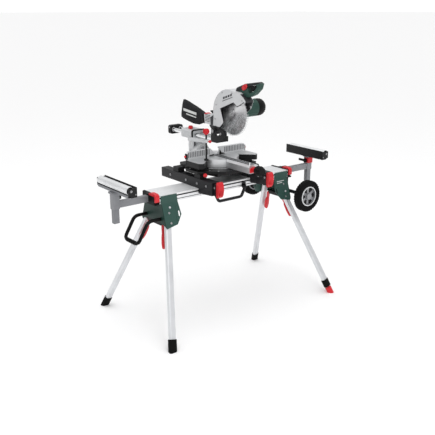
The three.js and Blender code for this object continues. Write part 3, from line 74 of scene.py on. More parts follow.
# ------------------------------------------------------------------ materials
class Graph:
    def __init__(self, name):
        self.mat = bpy.data.materials.new(name)
        self.mat.use_nodes = True
        self.t = self.mat.node_tree
        self.bsdf = self.t.nodes["Principled BSDF"]
        self.coords = self.t.nodes.new("ShaderNodeTexCoord").outputs["Object"]

    def node(self, kind, **values):
        n = self.t.nodes.new(kind)
        for key, value in values.items():
            setattr(n, key, value)
        return n

    def link(self, a, b):
        self.t.links.new(a, b)

    def mapped(self, scale):
        m = self.node("ShaderNodeMapping")
        m.inputs["Scale"].default_value = scale
        self.link(self.coords, m.inputs["Vector"])
        return m.outputs["Vector"]

    def noise(self, scale, detail=3, stretch=(1, 1, 1), rough=0.5):
        n = self.node("ShaderNodeTexNoise")
        n.inputs["Scale"].default_value = scale
        n.inputs["Detail"].default_value = detail
        n.inputs["Roughness"].default_value = rough
        self.link(self.mapped(stretch), n.inputs["Vector"])
        return n.outputs["Fac"]

    def math(self, op, a, b=0.0, clamp=False):
        n = self.node("ShaderNodeMath", operation=op, use_clamp=clamp)
        for i, v in enumerate((a, b)):
            if isinstance(v, (int, float)):
                n.inputs[i].default_value = v
            else:
                self.link(v, n.inputs[i])
        return n.outputs[0]

    def scale_add(self, value, gain, start):
        n = self.math("MULTIPLY_ADD", value, gain).node
        n.inputs[2].default_value = start
        return n.outputs[0]

    def below(self, value, limit):
        return self.math("LESS_THAN", value, limit)

    def from_middle(self, index):
        """Distance from the beam's middle plane, along X or Y."""
        return self.math("ABSOLUTE", self.math("SUBTRACT", self.axis(index), (OX, OY)[index]))

    def ramp(self, value, stops):
        n = self.node("ShaderNodeValToRGB")
        while len(n.color_ramp.elements) < len(stops):
            n.color_ramp.elements.new(0.5)
        for e, (pos, col) in zip(n.color_ramp.elements, stops):
            e.position = pos
            e.color = (*col, 1) if len(col) == 3 else col
        self.link(value, n.inputs["Fac"])
        return n.outputs["Color"]

    def mix(self, factor, a, b):
        n = self.node("ShaderNodeMix", data_type="RGBA")
        self._put(factor, n.inputs[0])
        self._put(a, n.inputs[6])
        self._put(b, n.inputs[7])
        return n.outputs[2]

    def _put(self, v, socket):
        if isinstance(v, (int, float)):
            socket.default_value = v
        elif isinstance(v, tuple):
            socket.default_value = (*v, 1) if len(v) == 3 else v
        else:
            self.link(v, socket)

    def axis(self, index):
        s = self.node("ShaderNodeSeparateXYZ")
        self.link(self.coords, s.inputs[0])
        return s.outputs[index]

    def above(self, value, limit):
        return self.math("GREATER_THAN", value, limit)

    def both(self, a, b):
        return self.math("MULTIPLY", a, b)

    def bump(self, height, strength, distance=0.001):
        n = self.node("ShaderNodeBump")
        n.inputs["Strength"].default_value = strength
        n.inputs["Distance"].default_value = distance
        self.link(height, n.inputs["Height"])
        self.link(n.outputs["Normal"], self.bsdf.inputs["Normal"])

    def set(self, color=None, rough=None, metal=None):
        for key, v in (("Base Color", color), ("Roughness", rough), ("Metallic", metal)):
            if v is not None:
                self._put(v, self.bsdf.inputs[key])


def scaled(c, k):
    return tuple(min(1.0, v * k) for v in c)


def shade(g, color, amount, scale=9, stretch=(1, 1, 1)):
    """Colour with a soft variation of that amount."""
    n = g.noise(scale, 4, stretch)
    return g.ramp(n, [(0.3, scaled(color, 1 - amount)), (0.7, scaled(color, 1 + amount))])


def metal(name, color, rough=0.36, metallic=0.85, stretch=(1, 1, 1), grain=700, bump=0.12):
    g = Graph(name)
    lines = g.noise(grain, 3, stretch)
    soft = g.noise(14, 3)
    g.set(color=shade(g, color, 0.06, 12), metal=metallic)
    g.set(rough=g.math("ADD", g.scale_add(lines, 0.16, rough - 0.08), g.math("MULTIPLY", soft, 0.06)))
    g.bump(lines, bump, 0.0004)
    return g


def plastic(name, color, rough=0.5, grain=1500, bump=0.25, vary=0.08, coat=0.0, spec=0.3):
    g = Graph(name)
    fine = g.noise(grain, 2)
    g.set(color=shade(g, color, vary, 10), metal=0.0)
    g.set(rough=g.scale_add(g.noise(22, 4), 0.14, rough - 0.07))
    g.bsdf.inputs["Specular IOR Level"].default_value = spec
    if coat:
        g.bsdf.inputs["Coat Weight"].default_value = coat
        g.bsdf.inputs["Coat Roughness"].default_value = 0.25
    g.bump(fine, bump, 0.0005)
    return g


def paint(name, color, rough=0.42, vary=0.07):
    """Powder coat: a fine orange peel."""
    return plastic(name, color, rough, grain=900, bump=0.3, vary=vary)


def split(name, base, other, test, rough=0.5, metallic=0.0, other_rough=0.5, other_metallic=0.0):
    """One material with a second finish where test(g) gives 1."""
    g = Graph(name)
    g.bsdf.inputs["Specular IOR Level"].default_value = 0.3
    where = test(g)
    g.set(color=g.mix(where, shade(g, base, 0.06, 10), shade(g, other, 0.06, 10)))
    blend = g.scale_add(where, other_rough - rough, rough - 0.05)
    g.set(rough=g.math("ADD", blend, g.math("MULTIPLY", g.noise(20, 4), 0.1)))
    g.set(metal=g.scale_add(where, other_metallic - metallic, metallic))
    g.bump(g.noise(900, 2), 0.2, 0.0004)
    return g


SILVER = (0.84, 0.85, 0.86)
LEG = (0.74, 0.75, 0.77)
BLACK = (0.0045, 0.0045, 0.0052)
GREEN = (0.018, 0.058, 0.045)
GREEN_LIT = (0.030, 0.078, 0.064)
RED = (0.60, 0.016, 0.024)
GREY = (0.26, 0.265, 0.28)
WHITE = (0.60, 0.61, 0.62)

M = {}
M["beam"] = metal("beam_aluminium", SILVER, 0.34, 0.45, stretch=(0.02, 1, 1), grain=900)
M["legs"] = metal("leg_aluminium", LEG, 0.42, 0.6, grain=500, bump=0.06)
M["machined"] = metal("machined_aluminium", (0.72, 0.73, 0.74), 0.32, 0.8, stretch=(1, 0.03, 1), grain=800)
M["roller"] = metal("roller_aluminium", (0.78, 0.79, 0.80), 0.38, 0.55, stretch=(1, 0.05, 1), grain=900)
M["fence"] = metal("fence_aluminium", (0.60, 0.61, 0.62), 0.42, 0.5, stretch=(1, 1, 0.05), grain=700)
M["chrome"] = metal("rail_chrome", (0.82, 0.83, 0.84), 0.16, 1.0, stretch=(1, 0.05, 1), grain=500,
                    bump=0.03)
M["bolt"] = metal("zinc_bolt", (0.42, 0.42, 0.43), 0.35, 0.9, grain=300, bump=0.05)
M["grey"] = metal("grey_coated_steel", GREY, 0.45, 0.5, grain=900, bump=0.15)
M["rim"] = metal("rim_grey", (0.30, 0.305, 0.32), 0.4, 0.4, grain=600)
M["black"] = plastic("black_plastic", (0.003, 0.0032, 0.0034), 0.46, spec=0.14)
M["black_steel"] = paint("black_powder_coat", (0.006, 0.006, 0.008), 0.42)
M["casting"] = paint("black_casting", (0.006, 0.006, 0.007), 0.5)
M["green"] = paint("green_powder_coat", GREEN_LIT, 0.44)
M["green_plastic"] = plastic("green_plastic", GREEN, 0.46)
M["red"] = plastic("red_plastic", RED, 0.42, bump=0.12, coat=0.15)
M["white"] = paint("white_casting", WHITE, 0.42)
M["foot"] = plastic("foot_rubber", (0.003, 0.003, 0.003), 0.7, grain=900, bump=0.4, spec=0.12)
M["mark_dark"] = plastic("dark_print", (0.03, 0.03, 0.035), 0.5, bump=0.02)
M["mark_light"] = plastic("light_print", (0.62, 0.63, 0.62), 0.6, bump=0.02)
M["copper"] = metal("copper_winding", (0.55, 0.28, 0.13), 0.4, 0.9, grain=300)


def tyre_material():
    g = Graph("tyre_rubber")
    g.bsdf.inputs["Specular IOR Level"].default_value = 0.12
    tread = g.node("ShaderNodeTexWave", wave_type="BANDS", bands_direction="Y")
    tread.inputs["Scale"].default_value = 55
    tread.inputs["Distortion"].default_value = 0.4
    g.link(g.coords, tread.inputs["Vector"])
    g.set(color=shade(g, (0.0026, 0.0025, 0.0028), 0.25, 30), rough=0.72, metal=0.0)
    h = g.math("ADD", g.math("MULTIPLY", tread.outputs["Fac"], 0.6), g.noise(500, 3))
    g.bump(h, 0.35, 0.0012)
    return g


def blade_material():
    """Ground disc: fine rings round the arbor, a darker body, and a painted reflection in two opposite
    sectors.
    """
    g = Graph("blade_steel")
    lo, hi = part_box("saw_blade")
    m = g.node("ShaderNodeMapping")
    m.inputs["Location"].default_value = (0, -(lo[1] + hi[1]) / 2, -(lo[2] + hi[2]) / 2)
    g.link(g.coords, m.inputs["Vector"])
    flat = g.node("ShaderNodeVectorMath", operation="MULTIPLY")
    flat.inputs[1].default_value = (0, 1, 1)
    g.link(m.outputs["Vector"], flat.inputs[0])
    r = g.node("ShaderNodeVectorMath", operation="LENGTH")
    g.link(flat.outputs["Vector"], r.inputs[0])
    rings = g.node("ShaderNodeTexNoise", noise_dimensions="1D")
    rings.inputs["Scale"].default_value = 900
    g.link(r.outputs["Value"], rings.inputs["W"])
    parts = g.node("ShaderNodeSeparateXYZ")
    g.link(m.outputs["Vector"], parts.inputs[0])
    angle = g.math("ARCTAN2", parts.outputs[2], parts.outputs[1])
    # painted reflection: two opposite bright sectors stand in for the ground steel's highlight
    sector = g.math("ABSOLUTE", g.math("COSINE", g.math("ADD", angle, 0.55)))
    painted_reflection = g.math("POWER", sector, 9.0)
    fleck = g.node("ShaderNodeTexNoise", noise_dimensions="2D")
    fleck.inputs["Scale"].default_value = 1.0
    fleck.inputs["Detail"].default_value = 3
    polar = g.node("ShaderNodeCombineXYZ")
    g.link(g.math("MULTIPLY", angle, 9.0), polar.inputs[0])
    g.link(g.math("MULTIPLY", r.outputs["Value"], 60.0), polar.inputs[1])
    g.link(polar.outputs[0], fleck.inputs["Vector"])
    body = g.ramp(fleck.outputs["Fac"], [(0.35, (0.13, 0.13, 0.135)), (0.65, (0.34, 0.34, 0.35))])
    lit = g.mix(painted_reflection, body, (0.72, 0.72, 0.73))
    teeth = g.above(r.outputs["Value"], 0.1195)
    tone = g.mix(teeth, lit, (0.46, 0.46, 0.47))
    g.set(color=tone, metal=0.85)
    g.set(rough=g.scale_add(rings.outputs["Fac"], 0.22, 0.22))
    g.bump(rings.outputs["Fac"], 0.25, 0.0004)
    return g


def clear_material():
    g = Graph("clear_plastic")
    g.set(color=(0.75, 0.79, 0.80), metal=0.0)
    g.set(rough=g.scale_add(g.noise(40, 2), 0.08, 0.5))
    g.bsdf.inputs["Alpha"].default_value = 0.09
    g.bump(g.noise(60, 2), 0.05, 0.0005)
    return g


def fabric_material(name, color):
    g = Graph(name)
    warp = g.node("ShaderNodeTexWave", wave_type="BANDS", bands_direction="Y")
    weft = g.node("ShaderNodeTexWave", wave_type="BANDS", bands_direction="Z")
    for w in (warp, weft):
        w.inputs["Scale"].default_value = 320
        w.inputs["Distortion"].default_value = 0.6
        g.link(g.coords, w.inputs["Vector"])
    weave = g.math("MULTIPLY", warp.outputs["Fac"], weft.outputs["Fac"])
    folds = g.noise(16, 4, stretch=(1, 0.6, 1.4))
    tone = g.ramp(g.math("ADD", g.math("MULTIPLY", weave, 0.5), g.math("MULTIPLY", folds, 0.6)),
                  [(0.2, scaled(color, 0.6)), (0.9, scaled(color, 1.5))])
    g.set(color=tone, rough=0.86, metal=0.0)
    g.bsdf.inputs["Specular IOR Level"].default_value = 0.2
    g.bsdf.inputs["Sheen Weight"].default_value = 0.05
    g.bsdf.inputs["Sheen Roughness"].default_value = 0.5
    g.bump(g.math("ADD", weave, g.math("MULTIPLY", folds, 4.0)), 0.6, 0.0016)
    return g


def groove_material():
    """Light ribs with shadowed grooves between them, on the fence's front."""
    g = Graph("ribbed_fence")
    x = g.from_middle(0)
    wave = g.math("SINE", g.math("MULTIPLY", x, 2 * math.pi / (FENCE_RIB / 1000)))
    groove = g.math("SUBTRACT", 1.0, g.above(wave, 0.0))
    face = g.below(g.axis(1), OY + 0.0312)
    height = g.both(g.above(g.axis(2), 0.929), g.below(g.axis(2), 0.9615))
    zone = g.both(g.above(x, 0.050), height)
    dark = g.both(g.both(face, zone), groove)
    g.set(color=g.mix(dark, (0.62, 0.63, 0.64), (0.13, 0.13, 0.14)), metal=0.4)
    g.set(rough=g.scale_add(g.noise(30, 3), 0.2, 0.5))
    g.bump(g.noise(700, 3, (1, 1, 0.05)), 0.1, 0.0004)
    return g


M["ribbed"] = groove_material()
M["tyre"] = tyre_material()
M["blade"] = blade_material()
M["clear"] = clear_material()
M["fabric"] = fabric_material("black_fabric", (0.015, 0.015, 0.017))
M["piping"] = fabric_material("seam_tape", (0.012, 0.012, 0.013))


def high(limit):
    return lambda g: g.above(g.axis(2), limit)


def housing_test(g):
    """The black lever bridge at the foot of the housing."""
    low = g.below(g.axis(2), 0.6205)
    middle = g.below(g.from_middle(1), 0.072)
    return g.both(low, middle)


def painted_slot_shade(g):
    """Painted shade inside the side slots, and a painted shadow line under the front face."""
    y = g.from_middle(1)
    slot = g.both(g.above(g.axis(2), 0.7555), g.below(g.axis(2), 0.7645))
    line = g.both(g.above(g.axis(2), 0.7375), g.below(g.axis(2), 0.7415))
    inner = g.both(g.above(y, 0.066), g.below(y, 0.0767))
    return g.math("ADD", g.both(slot, inner), g.both(line, g.above(y, 0.0765)), clamp=True)


def housing_material():
    """Powder coat, with painted shade on the end plate under the cap, and black on the lever bridge."""
    g = Graph("housing_green")
    g.bsdf.inputs["Specular IOR Level"].default_value = 0.3
    end = g.above(g.from_middle(0), 0.4728)
    inside = g.below(g.axis(2), 0.7275)
    # painted shade: the end plate below the cap gets a darker copy of the green, standing in for the cap's
    # shadow
    bright, painted_shade_green = (shade(g, tone, 0.06, 10) for tone in (GREEN_LIT, (0.008, 0.034, 0.026)))
    coat = g.mix(g.both(end, inside), bright, painted_shade_green)
    g.set(color=g.mix(housing_test(g), coat, BLACK), metal=0.0)
    g.set(rough=g.math("ADD", g.math("MULTIPLY", g.noise(20, 4), 0.12), 0.38))
    g.bump(g.noise(900, 2), 0.25, 0.0004)
    return g


def rails_test(g):
    """The black cap and front block at the ends of the rails."""
    behind = g.above(g.axis(1), OY + 0.4415)
    ahead = g.below(g.axis(1), OY + 0.0345)
    return g.math("ADD", behind, ahead, clamp=True)


def guard_test(g):
    """Painted shade inside the hood round the blade, and the dark gear case and pivot end."""
    lo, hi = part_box("saw_blade")
    y = g.math("SUBTRACT", g.axis(1), (lo[1] + hi[1]) / 2)
    z = g.math("SUBTRACT", g.axis(2), (lo[2] + hi[2]) / 2)
    r = g.math("SQRT", g.math("ADD", g.math("MULTIPLY", y, y), g.math("MULTIPLY", z, z)))
    inside = g.both(g.above(g.axis(0), OX - 0.0309), g.below(g.axis(0), OX + 0.0245))
    near = g.below(r, 0.1325)
    ahead = g.both(g.below(y, -0.04), g.above(z, 0.05))
    hollow = g.below(z, 0.1165)
    case = g.above(g.axis(0), OX + 0.0264)
    # painted shade: the hood's inside, round and ahead of the blade, is coloured dark
    painted_hood_shade = g.both(inside, g.math("ADD", near, g.both(ahead, hollow), clamp=True))
    pivot = g.below(g.axis(2), 1.098)
    return g.math("ADD", g.math("ADD", painted_hood_shade, case, clamp=True), pivot, clamp=True)


def post_test(g):
    """Black head, except the light lip under the roller."""
    x = g.from_middle(0)
    y = g.from_middle(1)
    under = g.both(g.above(x, 0.7225), g.below(y, 0.1605))
    lip = g.both(under, g.below(g.axis(2), 0.846))
    return g.both(g.above(g.axis(2), 0.8195), g.math("SUBTRACT", 1.0, lip))


def handle_test(g):
    """Dark above a sloping line."""
    y = g.math("SUBTRACT", g.axis(1), OY)
    line = g.math("ADD", g.axis(2), g.math("MULTIPLY", y, 0.333))
    return g.above(line, 1.2535)


MATS = {
    "beam_handle": M["black_steel"],
    # the beam's dark colour is painted shade in the side slots and a painted shadow line under the front
    # face
    "beam": split("beam_with_painted_shade", SILVER, (0.03, 0.03, 0.032), painted_slot_shade, 0.36, 0.45, 0.5, 0.3),
    "leg_housing": housing_material(),
    "slide_rails": split("rails", (0.82, 0.83, 0.84), BLACK, rails_test, 0.2, 1.0, 0.5, 0.0),
    "blade_guard": split("guard_casting", WHITE, (0.03, 0.03, 0.033), guard_test, 0.4, 0.1, 0.6),
    "main_handle": split("handle_grip", GREEN, (0.014, 0.015, 0.016), handle_test, 0.45, 0, 0.6),
    "support_post": split("post_and_channel", (0.22, 0.225, 0.24), BLACK, post_test, 0.42, 0.5, 0.45),
    "table_wing": split("wing", BLACK, (0.66, 0.67, 0.68), high(0.9165), 0.5, 0, 0.32, 0.7),
    "saw_base": split("base", BLACK, (0.66, 0.67, 0.68), high(0.9165), 0.5, 0, 0.32, 0.7),
    "clamp_screw": split("clamp_screw_finish", BLACK, RED, high(1.0665), 0.4, 0.2, 0.42),
}

FINISHES = {
    "black": ("end_cap", "carry_handle", "post_clamp", "mitre_knob", "trigger"),
    "black_steel": ("wheel_axle", "saw_mount"),
    "red": ("leg_lever", "levelling", "extension_lever", "mount_lever", "rail_lock", "lock_button"),
    "grey": ("extension_",),
    "legs": ("leg_front", "leg_back"),
    "fence": ("clamp_post",),
    "tyre": ("tyre",), "rim": ("rim_",), "foot": ("foot_cap",), "roller": ("roller",),
    "machined": ("turntable",), "ribbed": ("fence",), "white": ("bevel_arm",),
    "green_plastic": ("motor_housing",), "copper": ("motor_arm",), "blade": ("saw_blade",),
    "clear": ("lower_guard",), "fabric": ("dust_bag",),
}
MATS.update((prefix, M[key]) for key, prefixes in FINISHES.items() for prefix in prefixes)

# Rounding of the edges, in mm; the first prefix that fits is taken.
EDGES = {
    "beam_handle": 0, "end_cap": 1.6, "extension_lever": 2.2, "mount_lever": 2.5, "leg_lever": 2.2,
    "saw_mount": 1.0, "table_wing": 1.5, "saw_base": 1.2, "turntable": 1.0, "main_handle": 4.0,
    "support_post": 0.8, "extension_": 0.8, "leg_housing": 0.7, "fence": 0.8, "bevel_arm": 1.6,
    "slide_rails": 1.0, "post_clamp": 1.2, "clamp_post": 1.0, "blade_guard": 0.9, "foot_cap": 1.5,
    "trigger": 1.2, "beam": 0.5,
}


def by_prefix(table, name, default=None):
    return next((value for key, value in table.items() if name.startswith(key)), default)


def round_edges(obj, width, angle=None):
    b = obj.modifiers.new("edges", "BEVEL")
    b.width = width / 1000
    b.segments = 2
    b.limit_method = "ANGLE"
    if angle:
        b.angle_limit = math.radians(angle)


def shade_smooth(mesh, sharp=32):
    for poly in mesh.polygons:
        poly.use_smooth = True
    mesh.set_sharp_from_angle(angle=math.radians(sharp))


def finish_node(name, obj):
    obj.data.materials.clear()
    obj.data.materials.append(by_prefix(MATS, name).mat)
    width = by_prefix(EDGES, name, 0)
    if width:
        round_edges(obj, width, 38)
    shade_smooth(obj.data)


for node_name, node_object in NODES.items():
    finish_node(node_name, node_object)


# ------------------------------------------------------------------ piece helpers
def piece(name, bm, material, body, smooth=True, sharp=32, bevel=0.0, levels=0):
    mesh = bpy.data.meshes.new(name)
    bmesh.ops.recalc_face_normals(bm, faces=bm.faces)
    bm.to_mesh(mesh)
    bm.free()
    obj = bpy.data.objects.new(name, mesh)
    bpy.context.scene.collection.objects.link(obj)
    mesh.materials.append(material.mat)
    if smooth:
        shade_smooth(mesh, sharp)
    if bevel:
        round_edges(obj, bevel)
    if levels:
        s = obj.modifiers.new("subd", "SUBSURF")
        s.levels = s.render_levels = levels
    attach(obj, body)
    return obj


def single(name, material, body, add, *shape, **look):
    """A piece made by one add call."""
    bm = bmesh.new()
    add(bm, *shape)
    return piece(name, bm, material, body, **look)


def skin(bm, rings, capped=True):
    """Quads between rings of equal length, and a face over each end."""
    n = len(rings[0])
    for a, b in zip(rings, rings[1:]):
        for i in range(n):
            j = (i + 1) % n
            bm.faces.new((a[i], b[i], b[j], a[j]))
    if capped:
        bm.faces.new(rings[0])
        bm.faces.new(rings[-1])


def angles(n, start=0.0):
    return [start + 2 * math.pi * i / n for i in range(n)]


def squared(angle, power):
    """Point of a rounded square of half width 1."""
    c, s = math.cos(angle), math.sin(angle)
    return math.copysign(abs(c) ** power, c), math.copysign(abs(s) ** power, s)


def add_prism(bm, points, a0, a1, axis):
    """Closed outline swept between two stations along an axis; points are the other two coordinates."""
    def place(u, v, a):
        return P(*{"x": (a, u, v), "y": (u, a, v), "z": (u, v, a)}[axis])
    skin(bm, [[bm.verts.new(place(u, v, a)) for u, v in points] for a in (a0, a1)])


def add_lathe(bm, profile, centre, direction, sides=24, capped=True):
    """Profile of (radius, distance) pairs in mm turned about a direction from a centre."""
    d = Vector(direction).normalized()
    side = d.orthogonal().normalized()
    other = d.cross(side)
    rings = []
    for r, t in profile:
        if r <= 0:
            rings.append([bm.verts.new(centre + d * t / 1000)])
            continue
        rings.append([bm.verts.new(centre + d * t / 1000
                                   + (side * math.cos(a) + other * math.sin(a)) * r / 1000)
                      for a in angles(sides)])
    for a, b in zip(rings, rings[1:]):
        for i in range(sides):
            j = (i + 1) % sides
            if len(a) == 1:
                bm.faces.new((a[0], b[i], b[j]))
            elif len(b) == 1:
                bm.faces.new((a[i], b[0], a[j]))
            else:
                bm.faces.new((a[i], b[i], b[j], a[j]))
    for ring in (rings[0], rings[-1]):
        if capped and len(ring) > 1:
            bm.faces.new(ring)


def add_bolt(bm, centre, direction, r=8.0, h=4.5):
    """Pan head with a washer and a socket."""
    head = [(r * 1.25, 0.05), (r * 1.25, 1.0), (r, 1.2), (r * 0.95, h * 0.8), (r * 0.7, h)]
    socket = [(r * 0.42, h), (r * 0.36, h - 2.0), (0, h - 2.0)]
    add_lathe(bm, head + socket, centre, direction, 16)


def add_bar(bm, points, r, sides=10):
    """Round bar through points, in mm."""
    pts = [P(*p) for p in points]
    rings = []
    for i, p in enumerate(pts):
        a = pts[max(0, i - 1)]
        b = pts[min(len(pts) - 1, i + 1)]
        d = (b - a).normalized()
        side = d.cross(Vector((0.31, 0.17, 0.93))).normalized()
        other = d.cross(side)
        rings.append([bm.verts.new(p + (side * math.cos(t) + other * math.sin(t)) * r / 1000)
                      for t in angles(sides)])
    skin(bm, rings)


def rounded(a0, a1, b0, b1, r, n=4):
    """Outline of a rectangle with rounded corners."""
    pts = []
    corners = ((a1 - r, b0 + r, -90), (a1 - r, b1 - r, 0), (a0 + r, b1 - r, 90), (a0 + r, b0 + r, 180))
    for ca, cb, start in corners:
        for i in range(n + 1):
            t = math.radians(start + 90 * i / n)
            pts.append((ca + r * math.cos(t), cb + r * math.sin(t)))
    return pts


def sheet_y(z):
    """Outer face of a housing sheet from the middle plane, at a height, in mm."""
    return SHEET_Y + max(0.0, SHEET_BEND_Z - z) * SHEET_LEAN


# ------------------------------------------------------------------ stand details
def stand_details():
    bm = bmesh.new()
    for sx in (-1, 1):
        for sy in (-1, 1):
            for x, z in ((437, 674 if sx < 0 else 694), (436, 619)):
                add_bolt(bm, P(sx * x, sy * sheet_y(z), z), (0, sy * SHEET_OUT, SHEET_UP), 5.0, 3.5)
    piece("housing_bolts", bm, M["bolt"], "stand")

    # pressed stiffening bead down each sheet
    bm = bmesh.new()
    for sx in (-1, 1):
        for sy in (-1, 1):
            heights = [(i, 700 - i * 9) for i in range(9)]
            add_bar(bm, [(sx * (384 + i * 1.6), sy * (sheet_y(z) - 0.6), z) for i, z in heights], 2.6, 8)
    piece("housing_beads", bm, M["green"], "stand")

    # two plain light bars on the right housing
    bm = bmesh.new()
    for w, z in ((62, 713), (44, 703)):
        verts = [bm.verts.new(P(384 + dx, -(sheet_y(z + dz) + 0.5), z + dz))
                 for dx, dz in ((0, 0), (w, 0), (w - 1, 4.2), (0.5, 4.2))]
        bm.faces.new(verts)
    piece("housing_mark", bm, M["mark_light"], "stand", smooth=False)

    # low ridges along the top of the beam
    bm = bmesh.new()
    for y in (-46, 46):
        ridge = ((y - 1.2, 0.02), (y + 1.2, 0.02), (y + 1.0, 0.5), (y - 1.0, 0.5))
        add_prism(bm, [(u, BEAM_TOP + h) for u, h in ridge], -470, 470, "x")
    piece("beam_ridges", bm, M["beam"], "stand")

    # rubber grip on the carry handle's cross bar
    rings = [(11.4 + 0.8 * (i % 2), -44 + i * 4) for i in range(23)]
    single("carry_grip", M["foot"], "stand", add_lathe,
           [(10.2, -46)] + rings + [(10.2, 46)], P(-626.3, 0, 524), (0, 1, 0), 20)

    # axle brackets and the stub that carries each wheel
    bm = bmesh.new()
    for sy in (-1, 1):
        add_lathe(bm, [(17, 0), (17, 3), (13, 9), (0, 9.5)], P(WHEEL_X, sy * 211, WHEEL_Z), (0, sy, 0), 20)
        add_prism(bm, [(468, 655), (505, 655), (505, 628), (480, 628)], sy * 200, sy * 214, "y")
    piece("axle_carriers", bm, M["black_steel"], "stand", bevel=1.2)


BOX_FACES = ((4, 5, 6, 7), (0, 1, 5, 4), (1, 2, 6, 5), (2, 3, 7, 6), (3, 0, 4, 7), (3, 2, 1, 0))


def wheel_details():
    for name, sy in (("front", -1), ("back", 1)):
        centre = P(WHEEL_X, sy * WHEEL_Y, WHEEL_Z)
        single(f"hub_cap_{name}", M["rim"], f"wheel_{name}", add_lathe,
               [(20, -4), (20, -1), (18, 1), (12, 3.6), (6, 4.6), (0, 4.8)], centre, (0, sy, 0), 28)
        bm = bmesh.new()
        for a in angles(6):
            window = [(WHEEL_X + r * math.cos(a + da), WHEEL_Z + r * math.sin(a + da))
                      for r, da in ((25, -0.20), (53, -0.34), (54.5, 0.0), (53, 0.34), (25, 0.20))]
            add_prism(bm, window, sy * 255.1, sy * 255.9, "y")
        piece(f"rim_windows_{name}", bm, M["black"], f"wheel_{name}")
        single(f"rim_lip_{name}", M["machined"], f"wheel_{name}", add_lathe,
               [(55, 0), (60.5, 0), (61.5, -1.5), (61.5, -6)], centre + Vector((0, sy * -3.5, 0)) / 1000,
               (0, sy, 0), 48, False)
        single(f"wheel_web_{name}", M["black"], f"wheel_{name}", add_lathe,
               [(13, 0), (13, 2.0), (54, 2.0), (54, 0)], P(WHEEL_X, sy * 232, WHEEL_Z), (0, sy, 0), 40)
        bm = bmesh.new()
        for a in angles(5):
            spot = centre + Vector((13 * math.cos(a), sy * 2.6, 13 * math.sin(a))) / 1000
            add_lathe(bm, [(2.2, 0), (2.2, 1.2), (0, 1.5)], spot, (0, sy, 0), 10)
        piece(f"hub_screws_{name}", bm, M["bolt"], f"wheel_{name}")
        single(f"tyre_ring_{name}", M["tyre"], f"wheel_{name}", add_lathe,
               [(82, -0.4), (83, 0.9), (86, 0.9), (87, -0.4)], centre, (0, sy, 0), 48, False)
        # tread lugs round the tyre
        bm = bmesh.new()
        for a0 in angles(36):
            for k, off in ((-1, 0.0), (1, 0.5)):
                a = a0 + off * 2 * math.pi / 36
                c = P(WHEEL_X, sy * 248 + k * 9, WHEEL_Z)
                d = Vector((math.cos(a), 0, math.sin(a)))
                t = Vector((-math.sin(a), 0, math.cos(a)))
                vs = []
                for h, w, l in ((96.2, 5.4, 7.4), (98.0, 4.4, 6.4)):
                    for uu, vv in ((-1, -1), (1, -1), (1, 1), (-1, 1)):
                        vs.append(bm.verts.new(c + (d * h + t * uu * w + Vector((0, vv * l, 0))) / 1000))
                for q in BOX_FACES:
                    bm.faces.new([vs[j] for j in q])
        piece(f"tread_{name}", bm, M["tyre"], f"wheel_{name}", smooth=False)


# Distance down the lever, half width and half depth.
GRIP_SECTIONS = ((52, 9, 7.5), (60, 12, 8.6), (80, 14.5, 9.4), (112, 15.5, 9.8), (134, 13, 10.2),
                 (144, 8, 10))


def lever_paddles():
    """Moulded grips round the lower halves of the leg levers."""
    for side, sx in (("left", -1), ("right", 1)):
        for end, sy in (("front", -1), ("back", 1)):
            up = Vector((-sx * 0.2767, -sy * 0.445, 1)).normalized()
            out = Vector((0, sy, 0.445)).normalized()
            across = out.cross(up)
            if across.x * sx > 0:
                across = -across
            origin = P(sx * 455, sy * 61, 609)
            bm = bmesh.new()
            rings = []
            for t, w, h in GRIP_SECTIONS:
                outline = [squared(a, 0.6) for a in angles(20)]
                rings.append([bm.verts.new(origin + (across * (u * w + 3) + out * v * h - up * t) / 1000)
                              for u, v in outline])
            skin(bm, rings)
            piece(f"lever_grip_{end}_{side}", bm, M["red"], f"leg_lever_{end}_{side}")


def roller_details():
    for side, sx, px in (("left", -1, -716), ("right", 1, 744.5)):
        rx = px - sx * 5
        bm = bmesh.new()
        for sy in (-1, 1):
            add_bolt(bm, P(rx, sy * POST_END_Y, ROLLER_Z), (0, sy, 0), 5.5, 4.0)
            add_bolt(bm, P(px - sx * 32, sy * POST_END_Y, ROLLER_Z - 20), (0, sy, 0), 3.2, 2.5)
        piece(f"roller_screws_{side}", bm, M["bolt"], f"support_post_{side}")
        if side == "right":
            bm = bmesh.new()
            add_prism(bm, rounded(px - 21, px + 21, 773, 811, 4, 3), -23.5, -17.0, "y")
            add_prism(bm, rounded(px - 21, px - 17.2, 775, 809, 1.5, 2), -17.2, 10, "y")
            piece("clamp_block_right", bm, M["red"], "extension_right", bevel=1.2)
        bm = bmesh.new()
        for y in (-156.2, 155.2):
            add_lathe(bm, [(20.5, 0), (21.2, 0.4), (21.2, 0.8), (20.5, 1.0)], P(rx, y, ROLLER_Z),
                      (0, 1, 0), 28)
        piece(f"roller_ends_{side}", bm, M["black"], f"roller_{side}")


def mount_details():
    bm = bmesh.new()
    for sx in (-1, 1):
        for face, nx in ((sx * 194.5 - 25.5, -1), (sx * 194.5 + 25.5, 1)):
            for y, z in ((42.5, 800), (-64.5, 800), (-150, 800), (200, 800)):
                add_bolt(bm, P(face, y, z), (nx, 0, 0), 5.5, 4.0)
            add_bolt(bm, P(sx * 187 + nx * 23, -213, 803), (nx, 0, 0), 5.0, 3.5)
    piece("mount_bolts", bm, M["bolt"], "saw")
    for side, sx in (("left", -1), ("right", 1)):
        bm = bmesh.new()
        for i in range(5):
            z = 790 - i * 7
            rib = rounded(sx * 187 - 13, sx * 187 + 13, z - 1.6, z + 1.6, 1.2, 2)
            add_prism(bm, rib, -247.2, -244.6, "y")
        piece(f"mount_lever_ribs_{side}", bm, M["red"], f"mount_lever_{side}")


